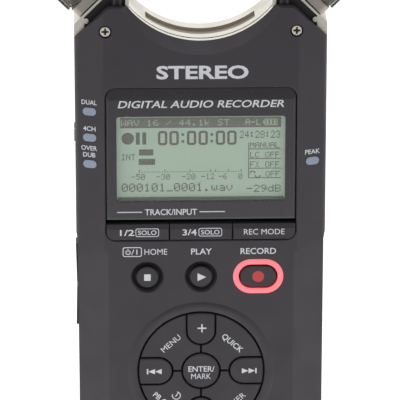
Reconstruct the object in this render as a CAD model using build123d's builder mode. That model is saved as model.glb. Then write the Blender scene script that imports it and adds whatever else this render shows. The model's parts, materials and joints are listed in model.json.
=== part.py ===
from build123d import *
import os
from math import cos, radians, sin, sqrt, tan

# Handheld stereo field recorder with two swivelling microphones, standing on its flat end.
# Frame: +X right and +Z up as seen from the front, +Y from the front face to the back.
# The origin is the middle of the bottom end. All lengths are millimetres.

os.makedirs("parts", exist_ok=True)

# ------------------------------------------------------------------ driving dimensions
# Case
FRONT_Y = -17.0  # front face of the case
SEAM_Y = 0.0  # joint line between the front and the rear shell
SEAM_GROOVE = 0.3  # width and depth of the shadow groove along it
BACK_Y = 17.5  # back of the thick lower half
UPPER_BACK_Y = 6.0  # back of the thin upper half
WALL = 1.8
FOOT_HALF = 34.5  # half width at the bottom end
GRIP_HALF = 34.6  # half width just under the shoulder
TOP_HALF = 35.0
CORNER_Z = 126.5  # where each horn's outer slope starts
HORN_HALF = 25.6  # where that slope meets the horn's flat top
HORN_Z = 135.7
MARGIN_X = 27.0  # the flat front ends here and slopes back beyond it
MARGIN_SLOPE = 18.0  # degrees
ROOM_TOP_Z = 120.7  # top of the room inside, under the silver frame
SHOULDER_Z = 67.4  # ridge above the finger grips, at the sides
SHOULDER_INNER_Z = 63.4  # the same ridge where it reaches the centre panel
GRIP_X = 26.0  # edge of the centre panel between the grips

# Silver frame between the shells, and the valley between the horns
FRAME_FRONT_Y = -13.5
FRAME_BACK_Y = 2.5
FRAME_FOOT_Z = 124.5
FRAME_SHOULDER_Z = 130.3
FRAME_THICKNESS = 2.5
VALLEY_R = 25.5
VALLEY_Z = 150.9  # centre of the valley's arc
BEVEL_R = 24.7  # larger mouth of the valley on the front face
BEVEL_Z = 147.0
VALLEY_WALL_X = 19.8  # the valley's sides stand upright beyond this

# Microphones
PIN_X = 23.3  # the swivel pins stand upright here
PIN_Y = -5.5
PIN_R = 2.3
RUNNING_GAP = 0.05
MIC_X = 27.96  # the microphone's axis crosses the underside of its foot plate here
MIC_Z = 137.96
FOOT_LENGTH = 16.4
FOOT_DEPTH = 15.2
FOOT_THICKNESS = 2.6
CAGE_R = 10.1
GRILLE_R = 9.3
GRILLE_WALL = 0.8
CAPSULE_R = 7.0
MIC_LENGTH = 14.0
BASE_FRONT_Y = -12.8  # dark swivel base in the recess under each microphone
BASE_BACK_Y = -8.7
BOSS_X = 23.0  # half-round boss on its front, above the horn
BOSS_R = 1.5
BOSS_HEIGHT = 3.7
PEG_X = 31.7  # bright peg at the outer end of the recess
PEG_Z = 131.2
PEG_R = 0.8

# Display and keys on the front
WINDOW_HALF = 26.7
WINDOW_BOTTOM_Z = 67.7
WINDOW_TOP_Z = 112.7
WINDOW_CORNER = 3.0
WINDOW_GAP = 0.3
WINDOW_BEVEL = 0.3
BEZEL_BOTTOM_Z = 73.5
BEZEL_BEVEL = 0.25
BEZEL_BEND_Z = 109.1  # the bezel leans back above this
LCD_WIDTH = 47.0
LCD_BOTTOM_Z = 79.15
LCD_TOP_Z = 104.25
LCD_CORNER = 0.8
SOFT_KEY_TOP_Z = 72.6
SOFT_KEY_CREASE_Z = 71.15
SOFT_KEY_SPLIT_X = 8.85
TRANSPORT_Z = 56.75
STOP_X = -15.1
RECORD_X = 16.1
ROUND_KEY_R = 3.05
WELL_R = 4.7
PAD_Z = 28.25
PAD_R = 17.9
PAD_RIM_R = 20.9
ENTER_R = 5.15
ARROW_HALF = 3.8  # half width of the four direction keys
ARROW_INNER_R = 8.3
KEY_GAP = 0.45
KEY_BACK_Y = -14.6
MAT_FRONT_Y = -14.1

# Sides
SIDE_Y = -5.7  # middle of the side controls
ROCKER_Z = 51.6
ROCKER_LENGTH = 25.0
ROCKER_WIDTH = 5.0
ROCKER_PIVOT_X = 31.8
HOLD_Z = 96.4
HOLD_TRAVEL = 3.0
JACK_Z = 108.0
USB_Z = 108.0
CARD_DOOR_Z = 84.0
CARD_DOOR_LENGTH = 28.0
INPUT_SWITCH_Z = 32.0

# Bottom end and back
SOCKET_X = 15.3  # the two microphone inputs
SOCKET_Y = 1.2
SOCKET_BODY = 26.0
SOCKET_TOP_Z = 24.5
DOOR_HALF = 25.0
DOOR_BOTTOM_Z = 26.0
DOOR_HINGE_Z = 80.2
DOOR_THICKNESS = 1.6
CELL_R = 7.2
CELL_LENGTH = 50.5
CELL_PITCH = 14.9
TRIPOD_Z = 88.0
TRIPOD_MINOR_R = 2.55  # minor radius of a 1/4-20 thread
SPEAKER_Z = 113.5
SPEAKER_R = 7.5
REAR_SCREWS = [(-30.5, 8.0, BACK_Y), (30.5, 8.0, BACK_Y), (-29.5, 118.0, UPPER_BACK_Y), (29.5, 118.0, UPPER_BACK_Y)]
FRONT_SCREW_X = 26.4
FRONT_SCREW_Z = 129.1
FRONT_SCREW_HEAD_R = 1.38
LENSES = [(-30.9, 105.7), (-30.9, 98.1), (-30.9, 90.3), (31.1, 90.7)]


# ------------------------------------------------------------------ planes and shared outlines
def front_plane(y):
    """Plane across the recorder at depth y, seen from the front: x right, y up."""
    return Plane(origin=(0, y, 0), x_dir=(1, 0, 0), z_dir=(0, -1, 0))


def side_plane(x):
    """Plane along the recorder at x: its x runs to the back, its y up."""
    return Plane(origin=(x, 0, 0), x_dir=(0, 1, 0), z_dir=(1, 0, 0))


def mirrored(points):
    """The points, then the same points on the other side, to close a symmetric outline."""
    return points + [(-x, z) for x, z in reversed(points)]


def margin_plane(x, z):
    """Plane on the sloping front margin at (x, z), facing out."""
    side = 1 if x > 0 else -1
    slope = radians(MARGIN_SLOPE)
    y = FRONT_Y + (abs(x) - MARGIN_X) * tan(slope)
    return Plane(
        origin=(x, y, z),
        x_dir=(cos(slope), side * sin(slope), 0),
        z_dir=(side * sin(slope), -cos(slope), 0),
    )


def mic_plane(side, height=0.0):
    """Plane across a microphone, height above the underside of its foot plate."""
    reach = height * sqrt(0.5)
    return Plane(
        origin=(side * (MIC_X + reach), PIN_Y, MIC_Z + reach),
        x_dir=(0, 1, 0),
        z_dir=(side, 0, 1),
    )


def case_outline(inset=0.0):
    """Front view of the case without the valley, drawn in the current sketch."""
    half = [
        (FOOT_HALF - inset, inset),
        (GRIP_HALF - inset, SHOULDER_Z),
        (TOP_HALF - inset, SHOULDER_Z + 2),
        (TOP_HALF - inset, CORNER_Z - inset / 2),
        (HORN_HALF - inset / 2, HORN_Z - inset),
    ]
    Polygon(*mirrored(half), align=None)


def frame_seat(clearance=0.0):
    """Front view of the space that the silver frame takes at the top of the case."""
    foot = FRAME_FOOT_Z - clearance
    with Locations((0, foot + 20)):
        Rectangle(2 * TOP_HALF + 4, 40)
    with Locations((0, VALLEY_Z)):
        Circle(VALLEY_R + FRAME_THICKNESS + clearance)


def valley(radius, centre_z):
    """Front view of the valley between the horns."""
    with Locations((0, centre_z)):
        Circle(radius)


# ------------------------------------------------------------------ front shell
with BuildPart() as grip_cuts:  # the finger grips slope back more steeply than the margins
    with BuildSketch(Plane.XY):
        Polygon(
            (GRIP_X, FRONT_Y),
            (GRIP_HALF + 2, FRONT_Y + 4.8),
            (GRIP_HALF + 2, FRONT_Y - 1),
            (GRIP_X, FRONT_Y - 1),
            align=None,
        )
        mirror(about=Plane.YZ)
    extrude(amount=SHOULDER_Z)
    with BuildSketch(front_plane(SEAM_Y)):
        with BuildLine():
            Polyline(
                (GRIP_X - 1, -1),
                (GRIP_HALF + 2, -1),
                (GRIP_HALF + 2, SHOULDER_Z),
            )
            ThreePointArc(
                (GRIP_HALF + 2, SHOULDER_Z),
                (GRIP_X + 3.2, SHOULDER_Z - 1.7),
                (GRIP_X - 1, SHOULDER_INNER_Z),
            )
            Line((GRIP_X - 1, SHOULDER_INNER_Z), (GRIP_X - 1, -1))
        make_face()
        mirror(about=Plane.YZ)
    extrude(amount=-FRONT_Y + 2, mode=Mode.INTERSECT)

with BuildPart() as front_shell:
    with BuildSketch(Plane.XY):  # cross-section of the front half
        margin_back = FRONT_Y + (TOP_HALF - MARGIN_X) * tan(radians(MARGIN_SLOPE))
        section = [(MARGIN_X, FRONT_Y), (TOP_HALF, margin_back), (TOP_HALF, SEAM_Y)]
        Polygon(*section, *[(-x, y) for x, y in reversed(section)], align=None)
        fillet(vertices().group_by(Axis.Y)[1], radius=1.6)
    extrude(amount=HORN_Z)
    with BuildSketch(front_plane(SEAM_Y)):
        case_outline()
        fillet(vertices().group_by(Axis.Y)[0], radius=4)
        fillet(vertices().group_by(Axis.Y)[-1], radius=2.5)
    extrude(amount=-FRONT_Y, mode=Mode.INTERSECT)
    add(grip_cuts.part, mode=Mode.SUBTRACT)

    # Room inside, closed at the horns
    with BuildSketch(Plane.XY.offset(WALL)):
        Polygon(
            (24.8, FRONT_Y + WALL),
            (TOP_HALF - 2.3, -11.3),
            (TOP_HALF - 2.3, SEAM_Y + 1),
            (-TOP_HALF + 2.3, SEAM_Y + 1),
            (-TOP_HALF + 2.3, -11.3),
            (-24.8, FRONT_Y + WALL),
            align=None,
        )
    extrude(amount=ROOM_TOP_Z - WALL, mode=Mode.SUBTRACT)

    # Seat of the silver frame, and the bevelled mouth of the valley
    with BuildSketch(front_plane(SEAM_Y + 1)):
        frame_seat(0.02)
    extrude(amount=SEAM_Y + 1 - FRAME_FRONT_Y, mode=Mode.SUBTRACT)
    for radius, centre_z, y in (
        (VALLEY_R + 0.02, VALLEY_Z + 0.1, FRAME_FRONT_Y + 0.1),
        (BEVEL_R - 0.02, BEVEL_Z - 0.1, FRONT_Y - 0.1),
    ):
        with BuildSketch(front_plane(y)):
            valley(radius, centre_z)
    loft(mode=Mode.SUBTRACT)

    # Window that the bezel and the soft keys share, with a bevelled edge
    window_z = (WINDOW_TOP_Z + WINDOW_BOTTOM_Z) / 2
    with BuildSketch(front_plane(FRONT_Y + WALL + 1)):
        with Locations((0, window_z)):
            RectangleRounded(2 * WINDOW_HALF, WINDOW_TOP_Z - WINDOW_BOTTOM_Z, WINDOW_CORNER)
    extrude(amount=WALL + 2, mode=Mode.SUBTRACT)
    with BuildSketch(front_plane(FRONT_Y + WINDOW_BEVEL)):
        with Locations((0, window_z)):
            RectangleRounded(2 * WINDOW_HALF, WINDOW_TOP_Z - WINDOW_BOTTOM_Z, WINDOW_CORNER)
    extrude(amount=WINDOW_BEVEL, taper=-45, mode=Mode.SUBTRACT)

    # Wells and holes of the round keys, the record key's ring and the control pad
    for key_x in (STOP_X, 0):
        with BuildSketch(front_plane(FRONT_Y + 1.0)):
            with Locations((key_x, TRANSPORT_Z)):
                Circle(ROUND_KEY_R + KEY_GAP + 0.1)
        with BuildSketch(front_plane(FRONT_Y - 0.1)):
            with Locations((key_x, TRANSPORT_Z)):
                Circle(WELL_R + 0.1)
        loft(mode=Mode.SUBTRACT)
    with BuildSketch(front_plane(FRONT_Y + WALL + 1)):
        with Locations((STOP_X, TRANSPORT_Z), (0, TRANSPORT_Z)):
            Circle(ROUND_KEY_R + KEY_GAP)
        with Locations((RECORD_X, TRANSPORT_Z)):
            SlotOverall(14.3, 10.4)
        with Locations((0, PAD_Z)):
            Circle(PAD_R + 0.2)
    extrude(amount=WALL + 2, mode=Mode.SUBTRACT)
    with BuildSketch(side_plane(0)):  # rounded rim of the pad
        with BuildLine():
            rim_inner = PAD_Z + PAD_R + 0.2
            Line((FRONT_Y + 0.5, rim_inner), (FRONT_Y - 0.1, rim_inner))
            ThreePointArc(
                (FRONT_Y - 0.1, rim_inner),
                (FRONT_Y - 0.36, rim_inner + 1.0),
                (FRONT_Y + 0.02, PAD_Z + PAD_RIM_R),
            )
            Line((FRONT_Y + 0.02, PAD_Z + PAD_RIM_R), (FRONT_Y + 0.5, PAD_Z + PAD_RIM_R))
            Line((FRONT_Y + 0.5, PAD_Z + PAD_RIM_R), (FRONT_Y + 0.5, rim_inner))
        make_face()
    revolve(axis=Axis((0, 0, PAD_Z), (0, 1, 0)))

    # Indicator pockets on the margins
    for lens_x, lens_z in LENSES:
        with BuildSketch(margin_plane(lens_x, lens_z)):
            SlotOverall(4.0, 2.35)
        extrude(amount=-2.0, mode=Mode.SUBTRACT)

    # Front screw recesses
    for side in (-1, 1):
        with BuildSketch(front_plane(FRONT_Y + 1.3)):
            with Locations((side * FRONT_SCREW_X, FRONT_SCREW_Z)):
                Circle(FRONT_SCREW_HEAD_R + 0.42)
        extrude(amount=3, mode=Mode.SUBTRACT)
        with BuildSketch(front_plane(FRAME_FRONT_Y + 1)):
            with Locations((side * FRONT_SCREW_X, FRONT_SCREW_Z)):
                Circle(0.95)
        extrude(amount=5, mode=Mode.SUBTRACT)

    # Left side: volume rocker, hold switch and headphone openings
    for cut_z, cut_length, cut_width in (
        (ROCKER_Z, ROCKER_LENGTH + 0.5, ROCKER_WIDTH + 0.4),
        (HOLD_Z - HOLD_TRAVEL / 2, 6.5 + HOLD_TRAVEL + 0.4, 4.0),
    ):
        with BuildSketch(side_plane(-TOP_HALF - 1)):
            with Locations((SIDE_Y, cut_z)):
                RectangleRounded(cut_width, cut_length, 0.8)
        extrude(amount=5, mode=Mode.SUBTRACT)
    with BuildSketch(side_plane(-TOP_HALF - 1)):
        with Locations((SIDE_Y, JACK_Z)):
            Circle(3.05)
    extrude(amount=5, mode=Mode.SUBTRACT)

    # Right side: level rocker, card door, USB and input switch openings
    for cut_y, cut_z, cut_length, cut_width, corner in (
        (SIDE_Y, ROCKER_Z, ROCKER_LENGTH + 0.5, ROCKER_WIDTH + 0.4, 0.8),
        (-5.35, CARD_DOOR_Z, CARD_DOOR_LENGTH + 0.6, 7.9, 0.4),
        (SIDE_Y, USB_Z, 7.9, 4.1, 0.8),
        (SIDE_Y, INPUT_SWITCH_Z, 9.9, 3.4, 0.8),
    ):
        with BuildSketch(side_plane(TOP_HALF - 4)):
            with Locations((cut_y, cut_z)):
                RectangleRounded(cut_width, cut_length, corner)
        extrude(amount=5, mode=Mode.SUBTRACT)
    with BuildSketch(Plane.XY.offset(CARD_DOOR_Z - CARD_DOOR_LENGTH / 2 - 1.2)):  # its hinge holes
        with Locations((34.1, -2.4)):
            Circle(0.4 + RUNNING_GAP)
    extrude(amount=CARD_DOOR_LENGTH + 2.4, mode=Mode.SUBTRACT)

    # Posts that the rear screws bite into, and the opening of the bottom plate
    for screw_x, screw_z, _ in REAR_SCREWS:
        with BuildSketch(front_plane(SEAM_Y)):
            with Locations((screw_x, screw_z)):
                Circle(2.0)
        extrude(amount=-FRONT_Y - 2.5)
        with BuildSketch(front_plane(SEAM_Y)):
            with Locations((screw_x, screw_z)):
                Circle(0.95)
        extrude(amount=11, mode=Mode.SUBTRACT)
    with BuildSketch(Plane.XY.offset(-1)):
        with Locations((0, 0.85)):
            Rectangle(61.6, 28.3)
    extrude(amount=WALL + 2, mode=Mode.SUBTRACT)
front_shell.part.label = "front_shell"
export_step(front_shell.part, "parts/front_shell.step")


# ------------------------------------------------------------------ rear shell
def rear_profile(inset=0.0):
    """Side view of the rear half: thick below, thin above, drawn in the current sketch."""
    Polygon(
        (SEAM_Y - 1, inset),
        (BACK_Y - inset, inset),
        (BACK_Y - inset, 94.0 - inset / 2),
        (UPPER_BACK_Y - inset, 107.0 - inset / 2),
        (UPPER_BACK_Y - inset, HORN_Z),
        (SEAM_Y - 1, HORN_Z),
        align=None,
    )


with BuildPart() as rear_shell:
    with BuildSketch(side_plane(-TOP_HALF)):
        rear_profile()
        fillet(vertices().filter_by(lambda v: v.Y > 1 and v.X > 1).sort_by(Axis.Y)[0:3], radius=2.0)
    extrude(amount=2 * TOP_HALF)
    with BuildSketch(front_plane(BACK_Y)):
        rear_top = [
            (FOOT_HALF, 0),
            (GRIP_HALF, SHOULDER_Z),
            (TOP_HALF, SHOULDER_Z + 2),
            (TOP_HALF, 126.5),
            (31.6, 129.9),
        ]
        Polygon(*mirrored(rear_top), align=None)
        fillet(vertices().group_by(Axis.Y)[0], radius=4)
    extrude(amount=BACK_Y - SEAM_Y, mode=Mode.INTERSECT)
    with BuildSketch(Plane.XY):  # rounded back corners
        Rectangle(2 * TOP_HALF, 2 * BACK_Y)
        fillet(vertices(), radius=5)
    extrude(amount=HORN_Z, mode=Mode.INTERSECT)

    # Room inside
    with BuildSketch(side_plane(-TOP_HALF + 2.3)):
        rear_profile(WALL)
    extrude(amount=2 * (TOP_HALF - 2.3), mode=Mode.SUBTRACT)
    with BuildSketch(front_plane(UPPER_BACK_Y)):  # the top wall over that room
        Polygon(*mirrored([(33.8, 126.1), (33.8, 127.7), (31.6, 129.9)]), align=None)
    extrude(amount=UPPER_BACK_Y - FRAME_BACK_Y)

    # Seat of the silver frame and the valley behind it
    with BuildSketch(front_plane(FRAME_BACK_Y)):
        frame_seat(0.02)
    extrude(amount=FRAME_BACK_Y - SEAM_Y + 1, mode=Mode.SUBTRACT)
    with BuildSketch(front_plane(BACK_Y)):
        valley(VALLEY_R + 1.6, VALLEY_Z)
    extrude(amount=BACK_Y + 2, mode=Mode.SUBTRACT)

    # Battery opening with the hinge holes of its door
    with BuildSketch(front_plane(BACK_Y + 1)):
        with Locations((0, (DOOR_BOTTOM_Z + DOOR_HINGE_Z + 0.8) / 2)):
            Rectangle(2 * DOOR_HALF + 0.6, DOOR_HINGE_Z + 0.8 - DOOR_BOTTOM_Z + 0.8)
    extrude(amount=WALL + 2, mode=Mode.SUBTRACT)
    with BuildSketch(side_plane(-DOOR_HALF - 1.8)):
        with Locations((BACK_Y - 0.8, DOOR_HINGE_Z)):
            Circle(0.5 + RUNNING_GAP)
    extrude(amount=2 * DOOR_HALF + 3.6, mode=Mode.SUBTRACT)

    # Tripod insert hole and speaker grille
    with BuildSketch(front_plane(BACK_Y + 1)):
        with Locations((0, TRIPOD_Z)):
            Circle(4.5)
    extrude(amount=WALL + 2, mode=Mode.SUBTRACT)
    with BuildSketch(front_plane(UPPER_BACK_Y + 1)):
        with Locations((0, SPEAKER_Z)):
            with GridLocations(0, 2.2, 1, 5):
                SlotOverall(11, 1.1)
    extrude(amount=WALL + 2, mode=Mode.SUBTRACT)

    # Shadow groove along the joint with the front shell
    with BuildSketch(front_plane(SEAM_Y + SEAM_GROOVE)):
        with Locations((0, HORN_Z / 2)):
            Rectangle(4 * TOP_HALF, 2 * HORN_Z)
        with BuildSketch(mode=Mode.SUBTRACT):
            case_outline(SEAM_GROOVE)
    extrude(amount=SEAM_GROOVE, mode=Mode.SUBTRACT)

    # Sleeves and recesses of the rear screws, and the opening of the bottom plate
    for screw_x, screw_z, back_y in REAR_SCREWS:
        with BuildSketch(front_plane(back_y - 0.5)):
            with Locations((screw_x, screw_z)):
                Circle(2.1)
        extrude(amount=back_y - 0.5 - SEAM_Y)
        with BuildSketch(front_plane(back_y + 1)):
            with Locations((screw_x, screw_z)):
                Circle(2.0)
        extrude(amount=2.4, mode=Mode.SUBTRACT)
        with BuildSketch(front_plane(back_y + 1)):
            with Locations((screw_x, screw_z)):
                Circle(1.0)
        extrude(amount=back_y + 2, mode=Mode.SUBTRACT)
    with BuildSketch(Plane.XY.offset(-1)):
        with Locations((0, 0.85)):
            Rectangle(61.6, 28.3)
    extrude(amount=WALL + 2, mode=Mode.SUBTRACT)
rear_shell.part.label = "rear_shell"
export_step(rear_shell.part, "parts/rear_shell.step")


# ------------------------------------------------------------------ silver frame and swivel bases
def swivel_cave(side, grow=0.0):
    """Front view of the dark recess under one microphone."""
    points = [
        (32.0 + grow, 127.0 - grow),
        (32.0 + grow, 132.3 + grow),
        (24.6, 139.7 + grow),
        (VALLEY_WALL_X + 1.1 - grow, 139.7 + grow),
        (VALLEY_WALL_X + 1.1 - grow, 127.0 - grow),
    ]
    Polygon(*[(side * x, z) for x, z in points], align=None)


with BuildPart() as mid_frame:
    with BuildSketch(front_plane(FRAME_BACK_Y)):
        frame_seat()
    extrude(amount=FRAME_BACK_Y - FRAME_FRONT_Y)
    with BuildSketch(front_plane(FRAME_BACK_Y)):
        horn = [
            (TOP_HALF, FRAME_FOOT_Z - 4),
            (TOP_HALF, FRAME_SHOULDER_Z),
            (33.5, FRAME_SHOULDER_Z + 1.6),
            (24.6, 140.8),
            (22.0, 140.8),
            (VALLEY_WALL_X, 138.6),
        ]
        Polygon(*mirrored(horn), align=None)
    extrude(amount=FRAME_BACK_Y - FRAME_FRONT_Y, mode=Mode.INTERSECT)
    with BuildSketch(front_plane(FRAME_BACK_Y + 1)):
        with Locations((0, VALLEY_Z)):
            Circle(VALLEY_R)
            Rectangle(2 * VALLEY_WALL_X, 2 * VALLEY_R, mode=Mode.INTERSECT)
    extrude(amount=FRAME_BACK_Y - FRAME_FRONT_Y + 2, mode=Mode.SUBTRACT)

    # Thin groove and wide sunken band round the valley
    for groove_front, groove_back, depth in ((-11.7, -11.0, 0.7), (-7.6, -2.1, 1.0)):
        with BuildSketch(front_plane(groove_back)):
            with Locations((0, VALLEY_Z)):
                Circle(VALLEY_R + depth)
                Rectangle(30.4 if depth > 0.8 else 2 * VALLEY_WALL_X, 2 * VALLEY_R + 4, mode=Mode.INTERSECT)
        extrude(amount=groove_back - groove_front, mode=Mode.SUBTRACT)

    # Behind the pins the tops are cones, which the turning microphones clear
    for side in (-1, 1):
        with BuildSketch(Plane(origin=(side * PIN_X, PIN_Y, 0), x_dir=(1, 0, 0), z_dir=(0, -1, 0))):
            Polygon((0, 142.1), (10.7, 131.4), (15, 131.4), (15, 150), (0, 150), align=None)
        revolve(axis=Axis((side * PIN_X, PIN_Y, 0), (0, 0, 1)), revolution_arc=180, mode=Mode.SUBTRACT)
        with BuildSketch(front_plane(BASE_BACK_Y + 0.1)):
            swivel_cave(side, 0.1)
        extrude(amount=6, mode=Mode.SUBTRACT)
        with BuildSketch(front_plane(BASE_FRONT_Y - 0.1)):
            with Locations((side * PEG_X, PEG_Z)):
                Circle(PEG_R)
        extrude(amount=0.5)
        with BuildSketch(Plane.XY.offset(FRAME_FOOT_Z - 1)):
            with Locations((side * PIN_X, PIN_Y)):
                Circle(PIN_R + RUNNING_GAP)
        extrude(amount=20, mode=Mode.SUBTRACT)
mid_frame.part.label = "mid_frame"
export_step(mid_frame.part, "parts/mid_frame.step")

for name, side in (("left", -1), ("right", 1)):
    with BuildPart() as swivel_base:
        with BuildSketch(front_plane(BASE_BACK_Y)):
            swivel_cave(side)
        extrude(amount=BASE_BACK_Y - BASE_FRONT_Y)
        with BuildSketch(Plane.XY.offset(HORN_Z + 0.1)):
            with Locations((side * BOSS_X, BASE_FRONT_Y)):
                Circle(BOSS_R)
        extrude(amount=BOSS_HEIGHT)
        with BuildSketch(front_plane(BASE_BACK_Y + 0.7)):
            with Locations((side * FRONT_SCREW_X, FRONT_SCREW_Z)):
                Circle(0.85)
        extrude(amount=6, mode=Mode.SUBTRACT)
    swivel_base.part.label = f"swivel_base_{name}"
    export_step(swivel_base.part, f"parts/swivel_base_{name}.step")


# ------------------------------------------------------------------ microphones
for name, side in (("left", -1), ("right", 1)):
    with BuildPart() as mic_post:  # upright pin under the foot plate
        with BuildSketch(Plane.XY.offset(FRAME_FOOT_Z + 0.5)):
            with Locations((side * PIN_X, PIN_Y)):
                Circle(PIN_R)
        extrude(amount=17.3)
        with BuildSketch(Plane.XY.offset(140.95)):
            with Locations((side * PIN_X, PIN_Y)):
                Circle(PIN_R + 1.0)
        extrude(amount=1.35)
        split(bisect_by=mic_plane(side), keep=Keep.BOTTOM)
    mic_post.part.label = f"mic_post_{name}"
    export_step(mic_post.part, f"parts/mic_post_{name}.step")

    with BuildPart() as mic_foot:
        with BuildSketch(mic_plane(side)):
            RectangleRounded(FOOT_DEPTH, FOOT_LENGTH, 2.0)
        extrude(amount=FOOT_THICKNESS)
    mic_foot.part.label = f"mic_foot_{name}"
    export_step(mic_foot.part, f"parts/mic_foot_{name}.step")

    with BuildPart() as mic_capsule:  # capsule on the disc that carries the basket
        with BuildSketch(mic_plane(side, FOOT_THICKNESS)):
            Circle(GRILLE_R - GRILLE_WALL - 0.05)
        extrude(amount=0.6)
        with BuildSketch(mic_plane(side, FOOT_THICKNESS)):
            Circle(CAPSULE_R)
        extrude(amount=MIC_LENGTH - FOOT_THICKNESS - 2.6)
    mic_capsule.part.label = f"mic_capsule_{name}"
    export_step(mic_capsule.part, f"parts/mic_capsule_{name}.step")

    with BuildPart() as mic_grille:  # mesh basket round the capsule
        with BuildSketch(mic_plane(side, FOOT_THICKNESS)):
            Circle(GRILLE_R)
        extrude(amount=MIC_LENGTH - FOOT_THICKNESS - 0.5)
        with BuildSketch(mic_plane(side, FOOT_THICKNESS)):
            Circle(GRILLE_R - GRILLE_WALL)
        extrude(amount=MIC_LENGTH - FOOT_THICKNESS - 0.5 - GRILLE_WALL, mode=Mode.SUBTRACT)
    mic_grille.part.label = f"mic_grille_{name}"
    export_step(mic_grille.part, f"parts/mic_grille_{name}.step")

    with BuildPart() as mic_cage:  # guard of six bars under a ring
        with BuildSketch(mic_plane(side, MIC_LENGTH - 1.6)):
            Circle(CAGE_R)
            Circle(GRILLE_R + 0.02, mode=Mode.SUBTRACT)
        extrude(amount=1.6)
        with BuildSketch(mic_plane(side, FOOT_THICKNESS)):
            with PolarLocations((CAGE_R + GRILLE_R) / 2, 6, start_angle=30 - 15 * side):
                Rectangle(CAGE_R - GRILLE_R - 0.06, 2.2)
        extrude(amount=MIC_LENGTH - FOOT_THICKNESS)
        with BuildSketch(mic_plane(side, MIC_LENGTH - 0.45)):
            Circle(CAGE_R)
            Circle(GRILLE_R - 1.3, mode=Mode.SUBTRACT)
        extrude(amount=0.45)
    mic_cage.part.label = f"mic_cage_{name}"
    export_step(mic_cage.part, f"parts/mic_cage_{name}.step")


# ------------------------------------------------------------------ display
def bezel_outline():
    """Front view of the bezel: round upper corners, square lower ones."""
    with Locations((0, (WINDOW_TOP_Z + BEZEL_BOTTOM_Z) / 2)):
        RectangleRounded(
            2 * (WINDOW_HALF - WINDOW_GAP),
            WINDOW_TOP_Z - BEZEL_BOTTOM_Z - 2 * WINDOW_GAP,
            WINDOW_CORNER - WINDOW_GAP,
        )
    with Locations((0, BEZEL_BOTTOM_Z + WINDOW_GAP + 2)):
        Rectangle(2 * (WINDOW_HALF - WINDOW_GAP), 4.0)


with BuildPart() as display_bezel:
    bezel_front = FRONT_Y + 0.5
    with BuildSketch(front_plane(FRONT_Y + 1.9)):
        bezel_outline()
    extrude(amount=1.4 - BEZEL_BEVEL)
    with BuildSketch(front_plane(bezel_front + BEZEL_BEVEL)):  # shallow bevel round its front
        bezel_outline()
    extrude(amount=BEZEL_BEVEL, taper=68)
    with BuildSketch(side_plane(-WINDOW_HALF)):
        Polygon(
            (bezel_front, BEZEL_BEND_Z),
            (bezel_front + 0.4, WINDOW_TOP_Z),
            (bezel_front - 1, WINDOW_TOP_Z),
            (bezel_front - 1, BEZEL_BEND_Z),
            align=None,
        )
    extrude(amount=2 * WINDOW_HALF, mode=Mode.SUBTRACT)
    with BuildSketch(front_plane(FRONT_Y + 2)):
        with Locations((0, (LCD_BOTTOM_Z + LCD_TOP_Z) / 2)):
            RectangleRounded(LCD_WIDTH, LCD_TOP_Z - LCD_BOTTOM_Z, LCD_CORNER)
    extrude(amount=2, mode=Mode.SUBTRACT)
display_bezel.part.label = "display_bezel"
export_step(display_bezel.part, "parts/display_bezel.step")

with BuildPart() as display_lens:
    with BuildSketch(front_plane(FRONT_Y + 1.2)):
        with Locations((0, (LCD_BOTTOM_Z + LCD_TOP_Z) / 2)):
            RectangleRounded(LCD_WIDTH - 0.1, LCD_TOP_Z - LCD_BOTTOM_Z - 0.1, LCD_CORNER - 0.05)
    extrude(amount=0.6)
display_lens.part.label = "display_lens"
export_step(display_lens.part, "parts/display_lens.step")

with BuildPart() as lcd_panel:  # glass on its wider light guide, one sealed module
    with BuildSketch(front_plane(-13.3)):
        with Locations((0, (LCD_BOTTOM_Z + LCD_TOP_Z) / 2)):
            Rectangle(49.0, 27.4)
    extrude(amount=1.7)
    with BuildSketch(front_plane(-12.0)):
        with Locations((0, (LCD_BOTTOM_Z + LCD_TOP_Z) / 2)):
            Rectangle(50.0, 30.0)
    extrude(amount=1.3)
lcd_panel.part.label = "lcd_panel"
export_step(lcd_panel.part, "parts/lcd_panel.step")

with BuildPart() as indicator_lenses:
    for lens_x, lens_z in LENSES:
        with BuildSketch(margin_plane(lens_x, lens_z).offset(-1.9)):
            SlotOverall(3.9, 2.25)
        extrude(amount=2.05)
indicator_lenses.part.label = "indicator_lenses"
export_step(indicator_lenses.part, "parts/indicator_lenses.step")

with BuildPart() as record_light_ring:
    with BuildSketch(front_plane(-14.8)):
        with Locations((RECORD_X, TRANSPORT_Z)):
            SlotOverall(14.2, 10.3)
            SlotOverall(11.0, 7.1, mode=Mode.SUBTRACT)
    extrude(amount=2.5)
    chamfer(faces().sort_by(Axis.Y)[0].edges(), length=0.4)
record_light_ring.part.label = "record_light_ring"
export_step(record_light_ring.part, "parts/record_light_ring.step")

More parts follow.
